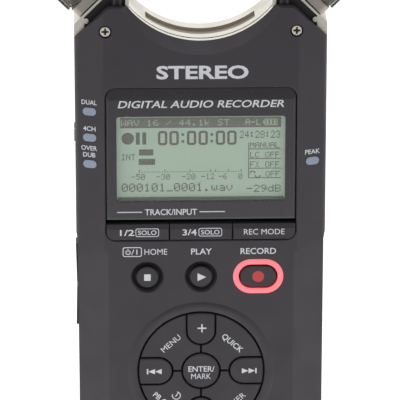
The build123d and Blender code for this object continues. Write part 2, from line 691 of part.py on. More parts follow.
# ------------------------------------------------------------------ soft keys
soft_key_low = WINDOW_BOTTOM_Z + 0.2
soft_key_height = SOFT_KEY_TOP_Z - soft_key_low - 0.1
for name, left_x, right_x, round_corner in (
    ("left", -WINDOW_HALF + 0.25, -SOFT_KEY_SPLIT_X - 0.15, Axis.X),
    ("middle", -SOFT_KEY_SPLIT_X + 0.15, SOFT_KEY_SPLIT_X - 0.15, None),
    ("right", SOFT_KEY_SPLIT_X + 0.15, WINDOW_HALF - 0.25, Axis.X),
):
    with BuildPart() as soft_key:
        with BuildSketch(front_plane(KEY_BACK_Y)):
            with Locations(((left_x + right_x) / 2, soft_key_low + soft_key_height / 2)):
                Rectangle(right_x - left_x, soft_key_height)
            if round_corner:
                outer = 0 if left_x < -SOFT_KEY_SPLIT_X else -1
                fillet(vertices().group_by(Axis.X)[outer].sort_by(Axis.Y)[0], radius=2.3)
        extrude(amount=KEY_BACK_Y - FRONT_Y + 0.1)
        chamfer(faces().sort_by(Axis.Y)[0].edges(), length=0.25)
        with BuildSketch(side_plane(left_x - 1)):  # the face leans back above the crease
            Polygon(
                (FRONT_Y - 0.1, SOFT_KEY_CREASE_Z),
                (FRONT_Y + 0.3, SOFT_KEY_TOP_Z),
                (FRONT_Y - 1, SOFT_KEY_TOP_Z),
                (FRONT_Y - 1, SOFT_KEY_CREASE_Z),
                align=None,
            )
        extrude(amount=right_x - left_x + 2, mode=Mode.SUBTRACT)
    soft_key.part.label = f"soft_key_{name}"
    export_step(soft_key.part, f"parts/soft_key_{name}.step")

# ------------------------------------------------------------------ stop, play and record keys
for name, key_x in (("stop", STOP_X), ("play", 0)):
    with BuildPart() as round_key:
        with BuildSketch(front_plane(KEY_BACK_Y)):
            with Locations((key_x, TRANSPORT_Z)):
                Circle(ROUND_KEY_R)
        extrude(amount=KEY_BACK_Y - FRONT_Y + 0.2)
        chamfer(faces().sort_by(Axis.Y)[0].edges(), length=0.3)
        with BuildSketch(front_plane(KEY_BACK_Y)):  # flange behind the shell
            with Locations((key_x, TRANSPORT_Z)):
                Circle(ROUND_KEY_R + 0.9)
        extrude(amount=0.5)
    round_key.part.label = f"{name}_button"
    export_step(round_key.part, f"parts/{name}_button.step")

with BuildPart() as record_button:
    with BuildSketch(front_plane(KEY_BACK_Y)):
        with Locations((RECORD_X, TRANSPORT_Z)):
            SlotOverall(10.2, 6.3)
    extrude(amount=KEY_BACK_Y - FRONT_Y + 0.15)
    chamfer(faces().sort_by(Axis.Y)[0].edges(), length=0.3)
record_button.part.label = "record_button"
export_step(record_button.part, "parts/record_button.step")

# ------------------------------------------------------------------ control pad
with BuildPart() as enter_button:
    with BuildSketch(front_plane(KEY_BACK_Y)):
        with Locations((0, PAD_Z)):
            Circle(ENTER_R)
    extrude(amount=KEY_BACK_Y - FRONT_Y + 0.4)
    chamfer(faces().sort_by(Axis.Y)[0].edges(), length=0.35)
enter_button.part.label = "enter_button"
export_step(enter_button.part, "parts/enter_button.step")


def arrow_outline(turn, grow=0.0):
    """A direction key on the pad: a bar with a round inner end, turned about the pad's middle."""
    half = ARROW_HALF + grow
    with Locations(Location((0, PAD_Z), turn)):
        with Locations((0, ARROW_INNER_R + ARROW_HALF)):
            Circle(half)
        with Locations((0, ARROW_INNER_R + ARROW_HALF + 5)):
            Rectangle(2 * half, 10)


for name, turn in (("plus", 0), ("skip_back", 90), ("minus", 180), ("skip_forward", 270)):
    with BuildPart() as arrow_key:
        with BuildSketch(front_plane(KEY_BACK_Y)):
            arrow_outline(turn)
            with Locations((0, PAD_Z)):
                Circle(PAD_R - 0.35, mode=Mode.INTERSECT)
        extrude(amount=KEY_BACK_Y - FRONT_Y + 0.5)
        chamfer(faces().sort_by(Axis.Y)[0].edges(), length=0.3)
    arrow_key.part.label = f"{name}_button"
    export_step(arrow_key.part, f"parts/{name}_button.step")

for name, turn in (("quick", 0), ("menu", 90), ("playback", 180), ("mixer", 270)):
    with BuildPart() as quadrant_key:
        with BuildSketch(front_plane(KEY_BACK_Y)):
            with Locations(Location((0, PAD_Z), turn)):
                with Locations((10.0 + KEY_GAP / 2, 10.0 + KEY_GAP / 2)):
                    Rectangle(20, 20)
            with Locations((0, PAD_Z)):
                Circle(PAD_R - 0.35, mode=Mode.INTERSECT)
            with Locations((0, PAD_Z)):
                Circle(ENTER_R + KEY_GAP, mode=Mode.SUBTRACT)
            with BuildSketch(mode=Mode.SUBTRACT):
                arrow_outline(turn, KEY_GAP)
                arrow_outline(turn - 90, KEY_GAP)
        extrude(amount=KEY_BACK_Y - FRONT_Y + 0.2)
        chamfer(faces().sort_by(Axis.Y)[0].edges(), length=0.2)
    quadrant_key.part.label = f"{name}_button"
    export_step(quadrant_key.part, f"parts/{name}_button.step")

with BuildPart() as key_mat:  # silicone sheet with a dome under every key
    with BuildSketch(front_plane(-13.4)):
        with Locations((0, 37.5)):
            Rectangle(44, 57)
    extrude(amount=-13.4 - MAT_FRONT_Y)
key_mat.part.label = "key_mat"
export_step(key_mat.part, "parts/key_mat.step")

# ------------------------------------------------------------------ circuit boards
with BuildPart() as key_board:
    with BuildSketch(front_plane(-12.3)):
        with Locations((0, 38.0)):
            Rectangle(46, 58)
    extrude(amount=1.0)
key_board.part.label = "key_board"
export_step(key_board.part, "parts/key_board.step")

with BuildPart() as main_board:
    with BuildSketch(front_plane(-8.3)):
        with Locations((0, 74.0)):
            Rectangle(54.6, 92)
    extrude(amount=1.2)
    with BuildSketch(front_plane(-8.3)):
        with Locations((-14, 60), (-14, 84)):
            Rectangle(13, 13)
        with Locations((-10, 40), (-12, 100)):
            Rectangle(8, 5)
    extrude(amount=-1.1)
main_board.part.label = "main_board"
export_step(main_board.part, "parts/main_board.step")

# ------------------------------------------------------------------ side controls
for name, side, crown_x in (("volume", -1, 35.2), ("level", 1, 34.55)):
    with BuildPart() as rocker:
        with BuildSketch(front_plane(SIDE_Y + ROCKER_WIDTH / 2)):
            half = ROCKER_LENGTH / 2
            profile = [
                (32.6, ROCKER_Z - half),
                (crown_x, ROCKER_Z - half + 0.3),
                (crown_x - 0.25, ROCKER_Z - 0.85),
                (crown_x - 0.75, ROCKER_Z - 0.6),
                (crown_x - 0.75, ROCKER_Z + 0.6),
                (crown_x - 0.25, ROCKER_Z + 0.85),
                (crown_x, ROCKER_Z + half - 0.3),
                (32.6, ROCKER_Z + half),
            ]
            Polygon(*[(side * x, z) for x, z in profile], align=None)
        extrude(amount=ROCKER_WIDTH)
        with BuildSketch(front_plane(SIDE_Y + 1)):  # stem to the switch inside
            with Locations((side * 31.4, ROCKER_Z)):
                Rectangle(2.4, 5)
        extrude(amount=2)
        with BuildSketch(front_plane(SIDE_Y + 3.2)):  # pivot pin
            with Locations((side * ROCKER_PIVOT_X, ROCKER_Z)):
                Circle(0.7)
        extrude(amount=6.4)
    rocker.part.label = f"{name}_rocker"
    export_step(rocker.part, f"parts/{name}_rocker.step")

with BuildPart() as hold_switch:
    with BuildSketch(side_plane(-34.7)):
        with Locations((SIDE_Y, HOLD_Z)):
            RectangleRounded(3.6, 6.5, 0.6)
    extrude(amount=1.8)
    with BuildSketch(side_plane(-35.3)):
        for rib_z in (HOLD_Z - 1.8, HOLD_Z, HOLD_Z + 1.9):
            with Locations((SIDE_Y, rib_z)):
                Rectangle(3.2, 0.7)
    extrude(amount=0.7)
    with BuildSketch(side_plane(-32.95)):  # stem to the switch inside
        with Locations((SIDE_Y, HOLD_Z)):
            Rectangle(1.6, 2.4)
    extrude(amount=2.0)
hold_switch.part.label = "hold_switch"
export_step(hold_switch.part, "parts/hold_switch.step")

with BuildPart() as input_switch:  # three places: line, microphone, powered microphone
    with BuildSketch(side_plane(31.5)):
        with Locations((SIDE_Y, INPUT_SWITCH_Z)):
            RectangleRounded(3.0, 3.4, 0.4)
    extrude(amount=2.9)
    with BuildSketch(side_plane(29.5)):
        with Locations((SIDE_Y, INPUT_SWITCH_Z)):
            Rectangle(1.6, 2.0)
    extrude(amount=2.5)
input_switch.part.label = "input_switch"
export_step(input_switch.part, "parts/input_switch.step")

with BuildPart() as headphone_jack:
    with BuildSketch(side_plane(-34.8)):
        with Locations((SIDE_Y, JACK_Z)):
            Circle(3.0)
    extrude(amount=3)
    with BuildSketch(side_plane(-32.6)):
        with Locations((SIDE_Y + 0.6, JACK_Z)):
            Rectangle(6.4, 6.6)
    extrude(amount=11)
    with BuildSketch(side_plane(-35)):
        with Locations((SIDE_Y, JACK_Z)):
            Circle(1.8)
    extrude(amount=12.5, mode=Mode.SUBTRACT)
headphone_jack.part.label = "headphone_jack"
export_step(headphone_jack.part, "parts/headphone_jack.step")

with BuildPart() as usb_socket:
    with BuildSketch(side_plane(25.5)):
        with Locations((SIDE_Y, USB_Z)):
            RectangleRounded(3.9, 7.7, 0.7)
    extrude(amount=9.0)
    with BuildSketch(side_plane(27.0)):
        with Locations((SIDE_Y, USB_Z)):
            RectangleRounded(3.1, 6.9, 0.5)
    extrude(amount=8, mode=Mode.SUBTRACT)
    with BuildSketch(side_plane(26.9)):
        with Locations((SIDE_Y + 0.2, USB_Z)):
            Rectangle(0.7, 4.6)
    extrude(amount=6)
usb_socket.part.label = "usb_socket"
export_step(usb_socket.part, "parts/usb_socket.step")

with BuildPart() as card_socket:
    with BuildSketch(side_plane(3.0)):
        with Locations((SIDE_Y, CARD_DOOR_Z)):
            Rectangle(3.4, 27.0)
    extrude(amount=29.6)
    with BuildSketch(side_plane(4.0)):
        with Locations((SIDE_Y, CARD_DOOR_Z)):
            Rectangle(2.4, 24.6)
    extrude(amount=30, mode=Mode.SUBTRACT)
card_socket.part.label = "card_socket"
export_step(card_socket.part, "parts/card_socket.step")

with BuildPart() as card_door:
    with BuildSketch(Plane.XY.offset(CARD_DOOR_Z - CARD_DOOR_LENGTH / 2)):
        with Locations((34.1, -5.7)):
            Rectangle(1.3, 6.6)
        with Locations((34.1, -2.4)):
            Circle(0.65)
    extrude(amount=CARD_DOOR_LENGTH)
    with BuildSketch(Plane.XY.offset(CARD_DOOR_Z - CARD_DOOR_LENGTH / 2 - 1.0)):
        with Locations((34.1, -2.4)):
            Circle(0.4)
    extrude(amount=CARD_DOOR_LENGTH + 2.0)
    with BuildSketch(side_plane(34.3)):  # fingernail slot
        with Locations((-8.0, CARD_DOOR_Z)):
            SlotOverall(6, 1.0, rotation=90)
    extrude(amount=1, mode=Mode.SUBTRACT)
card_door.part.label = "card_door"
export_step(card_door.part, "parts/card_door.step")

# ------------------------------------------------------------------ bottom end
with BuildPart() as bottom_plate:
    with BuildSketch(Plane.XY):
        with Locations((0, 0.85)):
            RectangleRounded(61.4, 28.1, 0.5)
        with Locations((-SOCKET_X, SOCKET_Y), (SOCKET_X, SOCKET_Y)):
            Circle(10.8, mode=Mode.SUBTRACT)
        with Locations((-SOCKET_X, SOCKET_Y + 12.3), (SOCKET_X, SOCKET_Y + 12.3)):
            Rectangle(7.4, 2.2, mode=Mode.SUBTRACT)
    extrude(amount=2.0)
bottom_plate.part.label = "bottom_plate"
export_step(bottom_plate.part, "parts/bottom_plate.step")

contact_angles = (90, 210, 330)
for name, side in (("left", -1), ("right", 1)):
    with BuildPart() as combo_socket:  # takes a 6.35 mm plug or a three-pin microphone plug
        with BuildSketch(Plane.XY.offset(2.02)):
            with Locations((side * SOCKET_X, SOCKET_Y)):
                Rectangle(SOCKET_BODY, SOCKET_BODY)
        extrude(amount=SOCKET_TOP_Z - 2.02)
        with BuildSketch(Plane.XY.offset(0.4)):
            with Locations((side * SOCKET_X, SOCKET_Y)):
                Circle(10.7)
        extrude(amount=2)
        with BuildSketch(Plane.XY.offset(0)):  # ring-shaped well round the core
            with Locations((side * SOCKET_X, SOCKET_Y)):
                Circle(9.75)
                Circle(7.9, mode=Mode.SUBTRACT)
        extrude(amount=16, mode=Mode.SUBTRACT)
        with BuildSketch(Plane.XY.offset(0)):
            with Locations((side * SOCKET_X, SOCKET_Y)):
                Circle(8.0)
        extrude(amount=2.4, mode=Mode.SUBTRACT)
        with BuildSketch(Plane.XY.offset(0)):
            with Locations((side * SOCKET_X, SOCKET_Y)):
                Circle(3.2)
                with PolarLocations(5.55, 3, start_angle=90):
                    Circle(1.35)
        extrude(amount=21, mode=Mode.SUBTRACT)
        with BuildSketch(Plane.XY.offset(0)):  # room of the release tab
            with Locations((side * SOCKET_X, SOCKET_Y + 12.2)):
                Rectangle(7.4, 2.4)
        extrude(amount=9, mode=Mode.SUBTRACT)
    combo_socket.part.label = f"combo_socket_{name}"
    export_step(combo_socket.part, f"parts/combo_socket_{name}.step")

    with BuildPart() as release_tab:
        with BuildSketch(Plane.XY.offset(0.3)):
            with Locations((side * SOCKET_X, SOCKET_Y + 12.15)):
                Rectangle(6.8, 1.7)
        extrude(amount=6.4)
    release_tab.part.label = f"release_tab_{name}"
    export_step(release_tab.part, f"parts/release_tab_{name}.step")

with BuildPart() as socket_contacts:  # sleeves inside the pin holes of both inputs
    for side in (-1, 1):
        with BuildSketch(Plane.XY.offset(6)):
            with Locations((side * SOCKET_X, SOCKET_Y)):
                with PolarLocations(5.55, 3, start_angle=90):
                    Circle(1.3)
                    Circle(1.05, mode=Mode.SUBTRACT)
        extrude(amount=12)
socket_contacts.part.label = "socket_contacts"
export_step(socket_contacts.part, "parts/socket_contacts.step")

# ------------------------------------------------------------------ batteries and back
tray_low = DOOR_BOTTOM_Z - 0.3
tray_high = DOOR_HINGE_Z + 0.5
with BuildPart() as battery_tray:
    with BuildSketch(front_plane(BACK_Y - WALL - 0.1)):
        with Locations((0, (tray_low + tray_high) / 2)):
            Rectangle(48.8, tray_high - tray_low)
    extrude(amount=BACK_Y - WALL - 0.1 + 0.8)
    with BuildSketch(front_plane(BACK_Y)):
        with Locations((0, (tray_low + tray_high) / 2)):
            Rectangle(46.8, tray_high - tray_low - 2)
    extrude(amount=BACK_Y - 0.2, mode=Mode.SUBTRACT)
battery_tray.part.label = "battery_tray"
export_step(battery_tray.part, "parts/battery_tray.step")

cell_low = (tray_low + tray_high - CELL_LENGTH) / 2
with BuildPart() as battery_cells:
    for cell_x, nub in ((-CELL_PITCH, 1), (0, -1), (CELL_PITCH, 1)):
        with BuildSketch(Plane.XY.offset(cell_low + 1)):
            with Locations((cell_x, 8.0)):
                Circle(CELL_R)
        extrude(amount=CELL_LENGTH - 2)
        nub_low = cell_low + CELL_LENGTH - 1 if nub > 0 else cell_low
        with BuildSketch(Plane.XY.offset(nub_low)):
            with Locations((cell_x, 8.0)):
                Circle(2.7)
        extrude(amount=1)
battery_cells.part.label = "battery_cells"
export_step(battery_cells.part, "parts/battery_cells.step")

with BuildPart() as battery_contacts:  # plates at both ends of the row of cells
    for contact_z in (tray_low + 1.05, tray_high - 1.35):
        with BuildSketch(Plane.XY.offset(contact_z)):
            with GridLocations(CELL_PITCH, 0, 3, 1):
                with Locations((0, 8.0)):
                    Rectangle(10, 10)
        extrude(amount=0.3)
battery_contacts.part.label = "battery_contacts"
export_step(battery_contacts.part, "parts/battery_contacts.step")

with BuildPart() as battery_door:
    with BuildSketch(side_plane(-DOOR_HALF)):
        with Locations((BACK_Y - DOOR_THICKNESS / 2, (DOOR_BOTTOM_Z + DOOR_HINGE_Z) / 2)):
            Rectangle(DOOR_THICKNESS, DOOR_HINGE_Z - DOOR_BOTTOM_Z)
        with Locations((BACK_Y - 0.8, DOOR_HINGE_Z)):
            Circle(0.8)
    extrude(amount=2 * DOOR_HALF)
    with BuildSketch(side_plane(-DOOR_HALF - 1.3)):  # hinge pins
        with Locations((BACK_Y - 0.8, DOOR_HINGE_Z)):
            Circle(0.5)
    extrude(amount=2 * DOOR_HALF + 2.6)
    with BuildSketch(front_plane(BACK_Y - 0.6)):  # thumb ribs
        with Locations((0, 34.0)):
            with GridLocations(0, 2.2, 1, 4):
                SlotOverall(16, 0.9)
    extrude(amount=-1, mode=Mode.SUBTRACT)
battery_door.part.label = "battery_door"
export_step(battery_door.part, "parts/battery_door.step")

with BuildPart() as tripod_insert:
    with BuildSketch(front_plane(BACK_Y - 0.1)):
        with Locations((0, TRIPOD_Z)):
            Circle(4.45)
    extrude(amount=8.0)
    with BuildSketch(front_plane(BACK_Y - WALL - 0.05)):
        with Locations((0, TRIPOD_Z)):
            Circle(5.0)
    extrude(amount=1.2)
    with BuildSketch(front_plane(BACK_Y)):
        with Locations((0, TRIPOD_Z)):
            Circle(TRIPOD_MINOR_R)
    extrude(amount=7.1, mode=Mode.SUBTRACT)
tripod_insert.part.label = "tripod_insert"
export_step(tripod_insert.part, "parts/tripod_insert.step")

with BuildPart() as speaker:
    with BuildSketch(front_plane(UPPER_BACK_Y - WALL - 0.3)):
        with Locations((0, SPEAKER_Z)):
            Circle(SPEAKER_R)
    extrude(amount=2.0)
    with BuildSketch(front_plane(UPPER_BACK_Y - WALL - 2.3)):
        with Locations((0, SPEAKER_Z)):
            Circle(SPEAKER_R - 2.5)
    extrude(amount=2.4)
speaker.part.label = "speaker"
export_step(speaker.part, "parts/speaker.step")


# ------------------------------------------------------------------ screws
def cross_recess(half, width):
    """Cross-shaped driver recess, drawn in the current sketch."""
    Rectangle(2 * half, width)
    Rectangle(width, 2 * half)


with BuildPart() as front_screws:
    for side in (-1, 1):
        with BuildSketch(front_plane(FRONT_Y + 1.3)):
            with Locations((side * FRONT_SCREW_X, FRONT_SCREW_Z)):
                Circle(FRONT_SCREW_HEAD_R)
        extrude(amount=1.0)
        with BuildSketch(front_plane(-9.0)):
            with Locations((side * FRONT_SCREW_X, FRONT_SCREW_Z)):
                Circle(0.8)
        extrude(amount=7.0)
        with BuildSketch(front_plane(FRONT_Y + 0.9)):
            with Locations((side * FRONT_SCREW_X, FRONT_SCREW_Z)):
                cross_recess(1.0, 0.5)
                Circle(0.55)
        extrude(amount=2, mode=Mode.SUBTRACT)
front_screws.part.label = "front_screws"
export_step(front_screws.part, "parts/front_screws.step")

with BuildPart() as rear_screws:
    for screw_x, screw_z, back_y in REAR_SCREWS:
        with BuildSketch(front_plane(back_y - 0.3)):
            with Locations((screw_x, screw_z)):
                Circle(1.8)
        extrude(amount=1.05)
        with BuildSketch(front_plane(back_y - 1.0)):
            with Locations((screw_x, screw_z)):
                Circle(0.85)
        extrude(amount=back_y + 8)
        with BuildSketch(front_plane(back_y)):
            with Locations((screw_x, screw_z)):
                cross_recess(1.1, 0.5)
        extrude(amount=0.9, mode=Mode.SUBTRACT)
rear_screws.part.label = "rear_screws"
export_step(rear_screws.part, "parts/rear_screws.step")
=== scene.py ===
import json
from math import cos, pi, radians, sin, sqrt

import bmesh
import bpy
from mathutils import Matrix, Vector


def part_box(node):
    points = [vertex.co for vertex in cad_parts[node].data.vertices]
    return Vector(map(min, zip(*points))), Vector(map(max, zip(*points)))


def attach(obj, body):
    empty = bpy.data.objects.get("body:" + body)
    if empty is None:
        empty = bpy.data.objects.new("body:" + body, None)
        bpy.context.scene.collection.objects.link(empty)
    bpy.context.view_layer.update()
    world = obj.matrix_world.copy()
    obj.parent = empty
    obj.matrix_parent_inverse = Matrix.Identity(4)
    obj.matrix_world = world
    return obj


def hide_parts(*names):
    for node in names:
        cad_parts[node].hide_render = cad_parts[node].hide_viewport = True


# Looks of the handheld stereo field recorder: materials of the CAD nodes, woven microphone
# baskets, printed markings, the display's picture, and the studio round it.
# Metres, in the row's frame: +X right and +Z up as seen from the front, which faces -Y.

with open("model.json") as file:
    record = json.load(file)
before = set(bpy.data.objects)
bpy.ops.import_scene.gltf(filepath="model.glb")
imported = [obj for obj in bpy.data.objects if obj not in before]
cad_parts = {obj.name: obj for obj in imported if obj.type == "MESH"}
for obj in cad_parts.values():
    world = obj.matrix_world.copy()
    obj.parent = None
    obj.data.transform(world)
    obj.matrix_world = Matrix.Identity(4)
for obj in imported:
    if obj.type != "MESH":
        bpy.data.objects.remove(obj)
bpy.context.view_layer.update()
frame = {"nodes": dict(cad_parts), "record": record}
NODES = frame["nodes"]
MM = 0.001
SIDES = (("left", -1), ("right", 1))


def low(node):
    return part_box(node)[0]


def high(node):
    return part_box(node)[1]


def middle(node):
    return (low(node) + high(node)) / 2


FRONT_FACE = low("stop_button").y + 0.2 * MM  # the case's flat front, behind the pad's rim


# ------------------------------------------------------------------ camera
AIM = Vector((-0.3 * MM, FRONT_FACE - 0.35 * MM, 79.9 * MM))
CAMERA_AZIMUTH = radians(-1.5)
CAMERA_ELEVATION = radians(20)
CAMERA_DISTANCE = 1.10
LENS_MM = 354.4


def make_camera():
    data = bpy.data.cameras.new("camera")
    data.lens = LENS_MM
    data.sensor_width = 36
    data.clip_start = 0.05
    data.clip_end = 30
    camera = bpy.data.objects.new("camera", data)
    bpy.context.scene.collection.objects.link(camera)
    back = Vector((
        sin(CAMERA_AZIMUTH) * cos(CAMERA_ELEVATION),
        -cos(CAMERA_AZIMUTH) * cos(CAMERA_ELEVATION),
        sin(CAMERA_ELEVATION),
    ))
    camera.location = AIM + CAMERA_DISTANCE * back
    camera.rotation_euler = (-back).to_track_quat("-Z", "Y").to_euler()
    bpy.context.scene.camera = camera


make_camera()


# ------------------------------------------------------------------ materials
def scaled(color, factor):
    return tuple(min(c * factor, 1.0) for c in color) + (1.0,)


class Surface:
    """A procedural material: colour drift, roughness smudges, fine grain and rounded edges."""

    def __init__(self, name, color, rough, metallic=0.0, drift=0.12, drift_scale=60.0, smudge=0.08,
                 grain_scale=4000.0, grain_depth=0.02 * MM, edge=0.12 * MM, wear=0.0, specular=0.5):
        self.material = bpy.data.materials.new(name)
        self.material.use_nodes = True
        self.tree = self.material.node_tree
        self.shader = self.tree.nodes["Principled BSDF"]
        self.shader.inputs["Metallic"].default_value = metallic
        self.shader.inputs["Specular IOR Level"].default_value = specular
        self.place = self.add("ShaderNodeTexCoord").outputs["Object"]

        cloud = self.noise(drift_scale, 4)
        mix = self.mix(scaled(color, 1 - drift), scaled(color, 1 + drift), cloud)
        self.normal = self.rounded(edge) if edge else None
        if wear:
            mix = self.worn(mix, color, wear)
        self.color = mix
        self.link(self.color, self.shader.inputs["Base Color"])

        patches = self.noise(drift_scale * 2.7, 3)
        self.link(self.spread(patches, rough - smudge, rough + smudge), self.shader.inputs["Roughness"])
        if grain_depth:
            self.bump(self.noise(grain_scale, 2), grain_depth)
        elif self.normal:
            self.link(self.normal, self.shader.inputs["Normal"])

    def add(self, kind):
        return self.tree.nodes.new(kind)

    def link(self, output, socket):
        self.tree.links.new(output, socket)

    def noise(self, scale, detail):
        node = self.add("ShaderNodeTexNoise")
        node.inputs["Scale"].default_value = scale
        node.inputs["Detail"].default_value = detail
        self.link(self.place, node.inputs["Vector"])
        return node.outputs["Fac"]

    def spread(self, value, bottom, top, start=0.3, end=0.7):
        """The value's middle range, from start to end, stretched to bottom..top."""
        node = self.add("ShaderNodeMapRange")
        node.inputs["From Min"].default_value = start
        node.inputs["From Max"].default_value = end
        node.inputs["To Min"].default_value = bottom
        node.inputs["To Max"].default_value = top
        self.link(value, node.inputs["Value"])
        return node.outputs["Result"]

    def mix(self, first, second, share):
        node = self.add("ShaderNodeMix")
        node.data_type = "RGBA"
        for socket, value in ((node.inputs["A"], first), (node.inputs["B"], second)):
            if isinstance(value, tuple):
                socket.default_value = value
            else:
                self.link(value, socket)
        self.link(share, node.inputs["Factor"])
        return node.outputs["Result"]

    def math(self, operation, first, second):
        node = self.add("ShaderNodeMath")
        node.operation = operation
        self.link(first, node.inputs[0])
        if isinstance(second, float):
            node.inputs[1].default_value = second
        else:
            self.link(second, node.inputs[1])
        return node.outputs["Value"]

    def rounded(self, radius):
        node = self.add("ShaderNodeBevel")
        node.samples = 4
        node.inputs["Radius"].default_value = radius
        return node.outputs["Normal"]

    def worn(self, mix, color, wear):
        """Lighter where an edge rubs: where the rounded normal leaves the face's own."""
        geometry = self.add("ShaderNodeNewGeometry")
        node = self.add("ShaderNodeVectorMath")
        node.operation = "DOT_PRODUCT"
        self.link(self.normal, node.inputs[0])
        self.link(geometry.outputs["Normal"], node.inputs[1])
        edge = self.spread(node.outputs["Value"], wear, 0.0, 0.86, 0.99)
        share = self.math("MULTIPLY", edge, self.spread(self.noise(900.0, 3), 0.2, 1.0))
        return self.mix(mix, scaled(color, 3.0), share)

    def bump(self, height, depth):
        node = self.add("ShaderNodeBump")
        node.inputs["Distance"].default_value = depth
        self.link(height, node.inputs["Height"])
        if self.normal:
            self.link(self.normal, node.inputs["Normal"])
        self.normal = node.outputs["Normal"]
        self.link(self.normal, self.shader.inputs["Normal"])

    def glow(self, color, strength):
        self.shader.inputs["Emission Color"].default_value = (*color, 1.0)
        self.shader.inputs["Emission Strength"].default_value = strength
        return self


def brushed(name, color, rough, direction, depth=0.01 * MM):
    """Metal with fine parallel marks: noise stretched along the direction."""
    surface = Surface(name, color, rough, metallic=1.0, drift=0.05, grain_depth=0, edge=0.1 * MM)
    stretch = surface.add("ShaderNodeMapping")
    stretch.inputs["Scale"].default_value = direction
    surface.link(surface.place, stretch.inputs["Vector"])
    surface.place = stretch.outputs["Vector"]
    surface.bump(surface.noise(1.0, 3), depth)
    return surface


def pixel_glass():
    """The display's ground: pale green with the faint grid of its dots."""
    surface = Surface("display_ground", (0.355, 0.455, 0.36), 0.35, drift=0.04, grain_depth=0, edge=0)
    grid = surface.add("ShaderNodeTexBrick")
    grid.offset = 0
    grid.inputs["Scale"].default_value = 1.0
    grid.inputs["Brick Width"].default_value = 0.36 * MM
    grid.inputs["Row Height"].default_value = 0.36 * MM
    grid.inputs["Mortar Size"].default_value = 0.02 * MM
    grid.inputs["Color1"].default_value = (1, 1, 1, 1)
    grid.inputs["Color2"].default_value = (1, 1, 1, 1)
    grid.inputs["Mortar"].default_value = (0, 0, 0, 1)
    turn = surface.add("ShaderNodeMapping")
    turn.inputs["Rotation"].default_value = (radians(90), 0, 0)
    surface.link(surface.place, turn.inputs["Vector"])
    surface.link(turn.outputs["Vector"], grid.inputs["Vector"])
    color = surface.mix((0.395, 0.495, 0.40, 1), surface.color, grid.outputs["Color"])
    surface.link(color, surface.shader.inputs["Base Color"])
    return surface.glow((0.42, 0.56, 0.43), 0.16)


def cell_sleeve():
    """Plain printed sleeve of a cell: slate blue, with a pale grey band near one end."""
    surface = Surface("cell_sleeve", (0.075, 0.105, 0.150), 0.32, drift_scale=300, grain_depth=0)
    apart = surface.add("ShaderNodeSeparateXYZ")
    surface.link(surface.place, apart.inputs["Vector"])
    top = high("battery_cells").z
    above = surface.spread(apart.outputs["Z"], 0.0, 1.0, top - 12.1 * MM, top - 12.0 * MM)
    below = surface.spread(apart.outputs["Z"], 1.0, 0.0, top - 8.0 * MM, top - 7.9 * MM)
    band = surface.math("MULTIPLY", above, below)
    surface.link(surface.mix(surface.color, (0.42, 0.43, 0.44, 1), band), surface.shader.inputs["Base Color"])
    return surface


def clear_pane():
    surface = Surface("display_pane", (0.8, 0.9, 0.85), 0.06, smudge=0.03, grain_depth=0, edge=0)
    surface.shader.inputs["Alpha"].default_value = 0.06
    return surface


SHELL = (0.040, 0.034, 0.044)
SURFACES = {
    "shell": Surface("shell_plastic", SHELL, 0.5, grain_scale=3200, grain_depth=0.016 * MM, wear=0.25),
    "silver": Surface("satin_silver", (0.72, 0.69, 0.61), 0.33, metallic=0.85, drift=0.03,
                      grain_scale=6000, grain_depth=0.004 * MM),
    "base": Surface("base_plastic", (0.020, 0.016, 0.020), 0.4, wear=0.2),
    "bezel": Surface("bezel_plastic", (0.024, 0.020, 0.026), 0.24, smudge=0.05, grain_scale=5000,
                     grain_depth=0.003 * MM, specular=0.75),
    "lens": clear_pane(),
    "lcd": pixel_glass(),
    "indicator": Surface("indicator_lens", (0.30, 0.36, 0.46), 0.25, grain_depth=0.003 * MM),
    "record_ring": Surface("record_ring", (0.85, 0.18, 0.20), 0.35,
                           grain_depth=0.004 * MM).glow((1.0, 0.20, 0.235), 0.60),
    "keys": Surface("key_plastic", (0.036, 0.031, 0.039), 0.5, grain_scale=3600,
                    grain_depth=0.010 * MM, wear=0.2),
    "side_keys": Surface("side_key_plastic", (0.030, 0.028, 0.031), 0.48, wear=0.2),
    "key_mat": Surface("key_mat_silicone", (0.006, 0.005, 0.007), 0.6),
    "board": Surface("board_mask", (0.01, 0.08, 0.035), 0.35, drift_scale=400),
    "jack": Surface("jack_plastic", (0.012, 0.012, 0.012), 0.3),
    "socket_metal": brushed("tinned_steel", (0.62, 0.62, 0.62), 0.3, (9000, 300, 9000)),
    "socket": Surface("socket_plastic", (0.018, 0.018, 0.020), 0.42, wear=0.2),
    "contact": brushed("gold_contact", (0.78, 0.58, 0.26), 0.25, (300, 300, 6000)),
    "cells": cell_sleeve(),
    "insert": brushed("nickel_insert", (0.66, 0.62, 0.54), 0.28, (300, 9000, 300)),
    "speaker": Surface("speaker_cone", (0.03, 0.03, 0.03), 0.8, grain_depth=0.03 * MM),
    "screws": brushed("nickel_screw", (0.80, 0.75, 0.66), 0.22, (300, 300, 9000), 0.004 * MM),
    "grille": Surface("grille_wire", (0.25, 0.25, 0.205), 0.42, metallic=0.6, edge=0,
                      grain_depth=0.002 * MM),
    "capsule": Surface("capsule_foam", (0.085, 0.088, 0.072), 0.9, grain_scale=1500,
                       grain_depth=0.08 * MM),
}
INK = Surface("white_ink", (0.74, 0.76, 0.80), 0.5, drift=0.04, grain_depth=0.003 * MM, edge=0)
RED_INK = Surface("red_ink", (0.62, 0.055, 0.06), 0.5, drift=0.05, grain_depth=0.003 * MM, edge=0)
SEGMENTS = Surface("display_segments", (0.120, 0.116, 0.090), 0.4, drift=0.05, grain_depth=0, edge=0)
STATUS_BAR = Surface("display_status_bar", (0.155, 0.150, 0.125), 0.4, drift=0.05, grain_depth=0, edge=0)
SEGMENTS_CLEAR = Surface("display_clear", (0.34, 0.42, 0.32), 0.4, drift=0.05, grain_depth=0, edge=0)
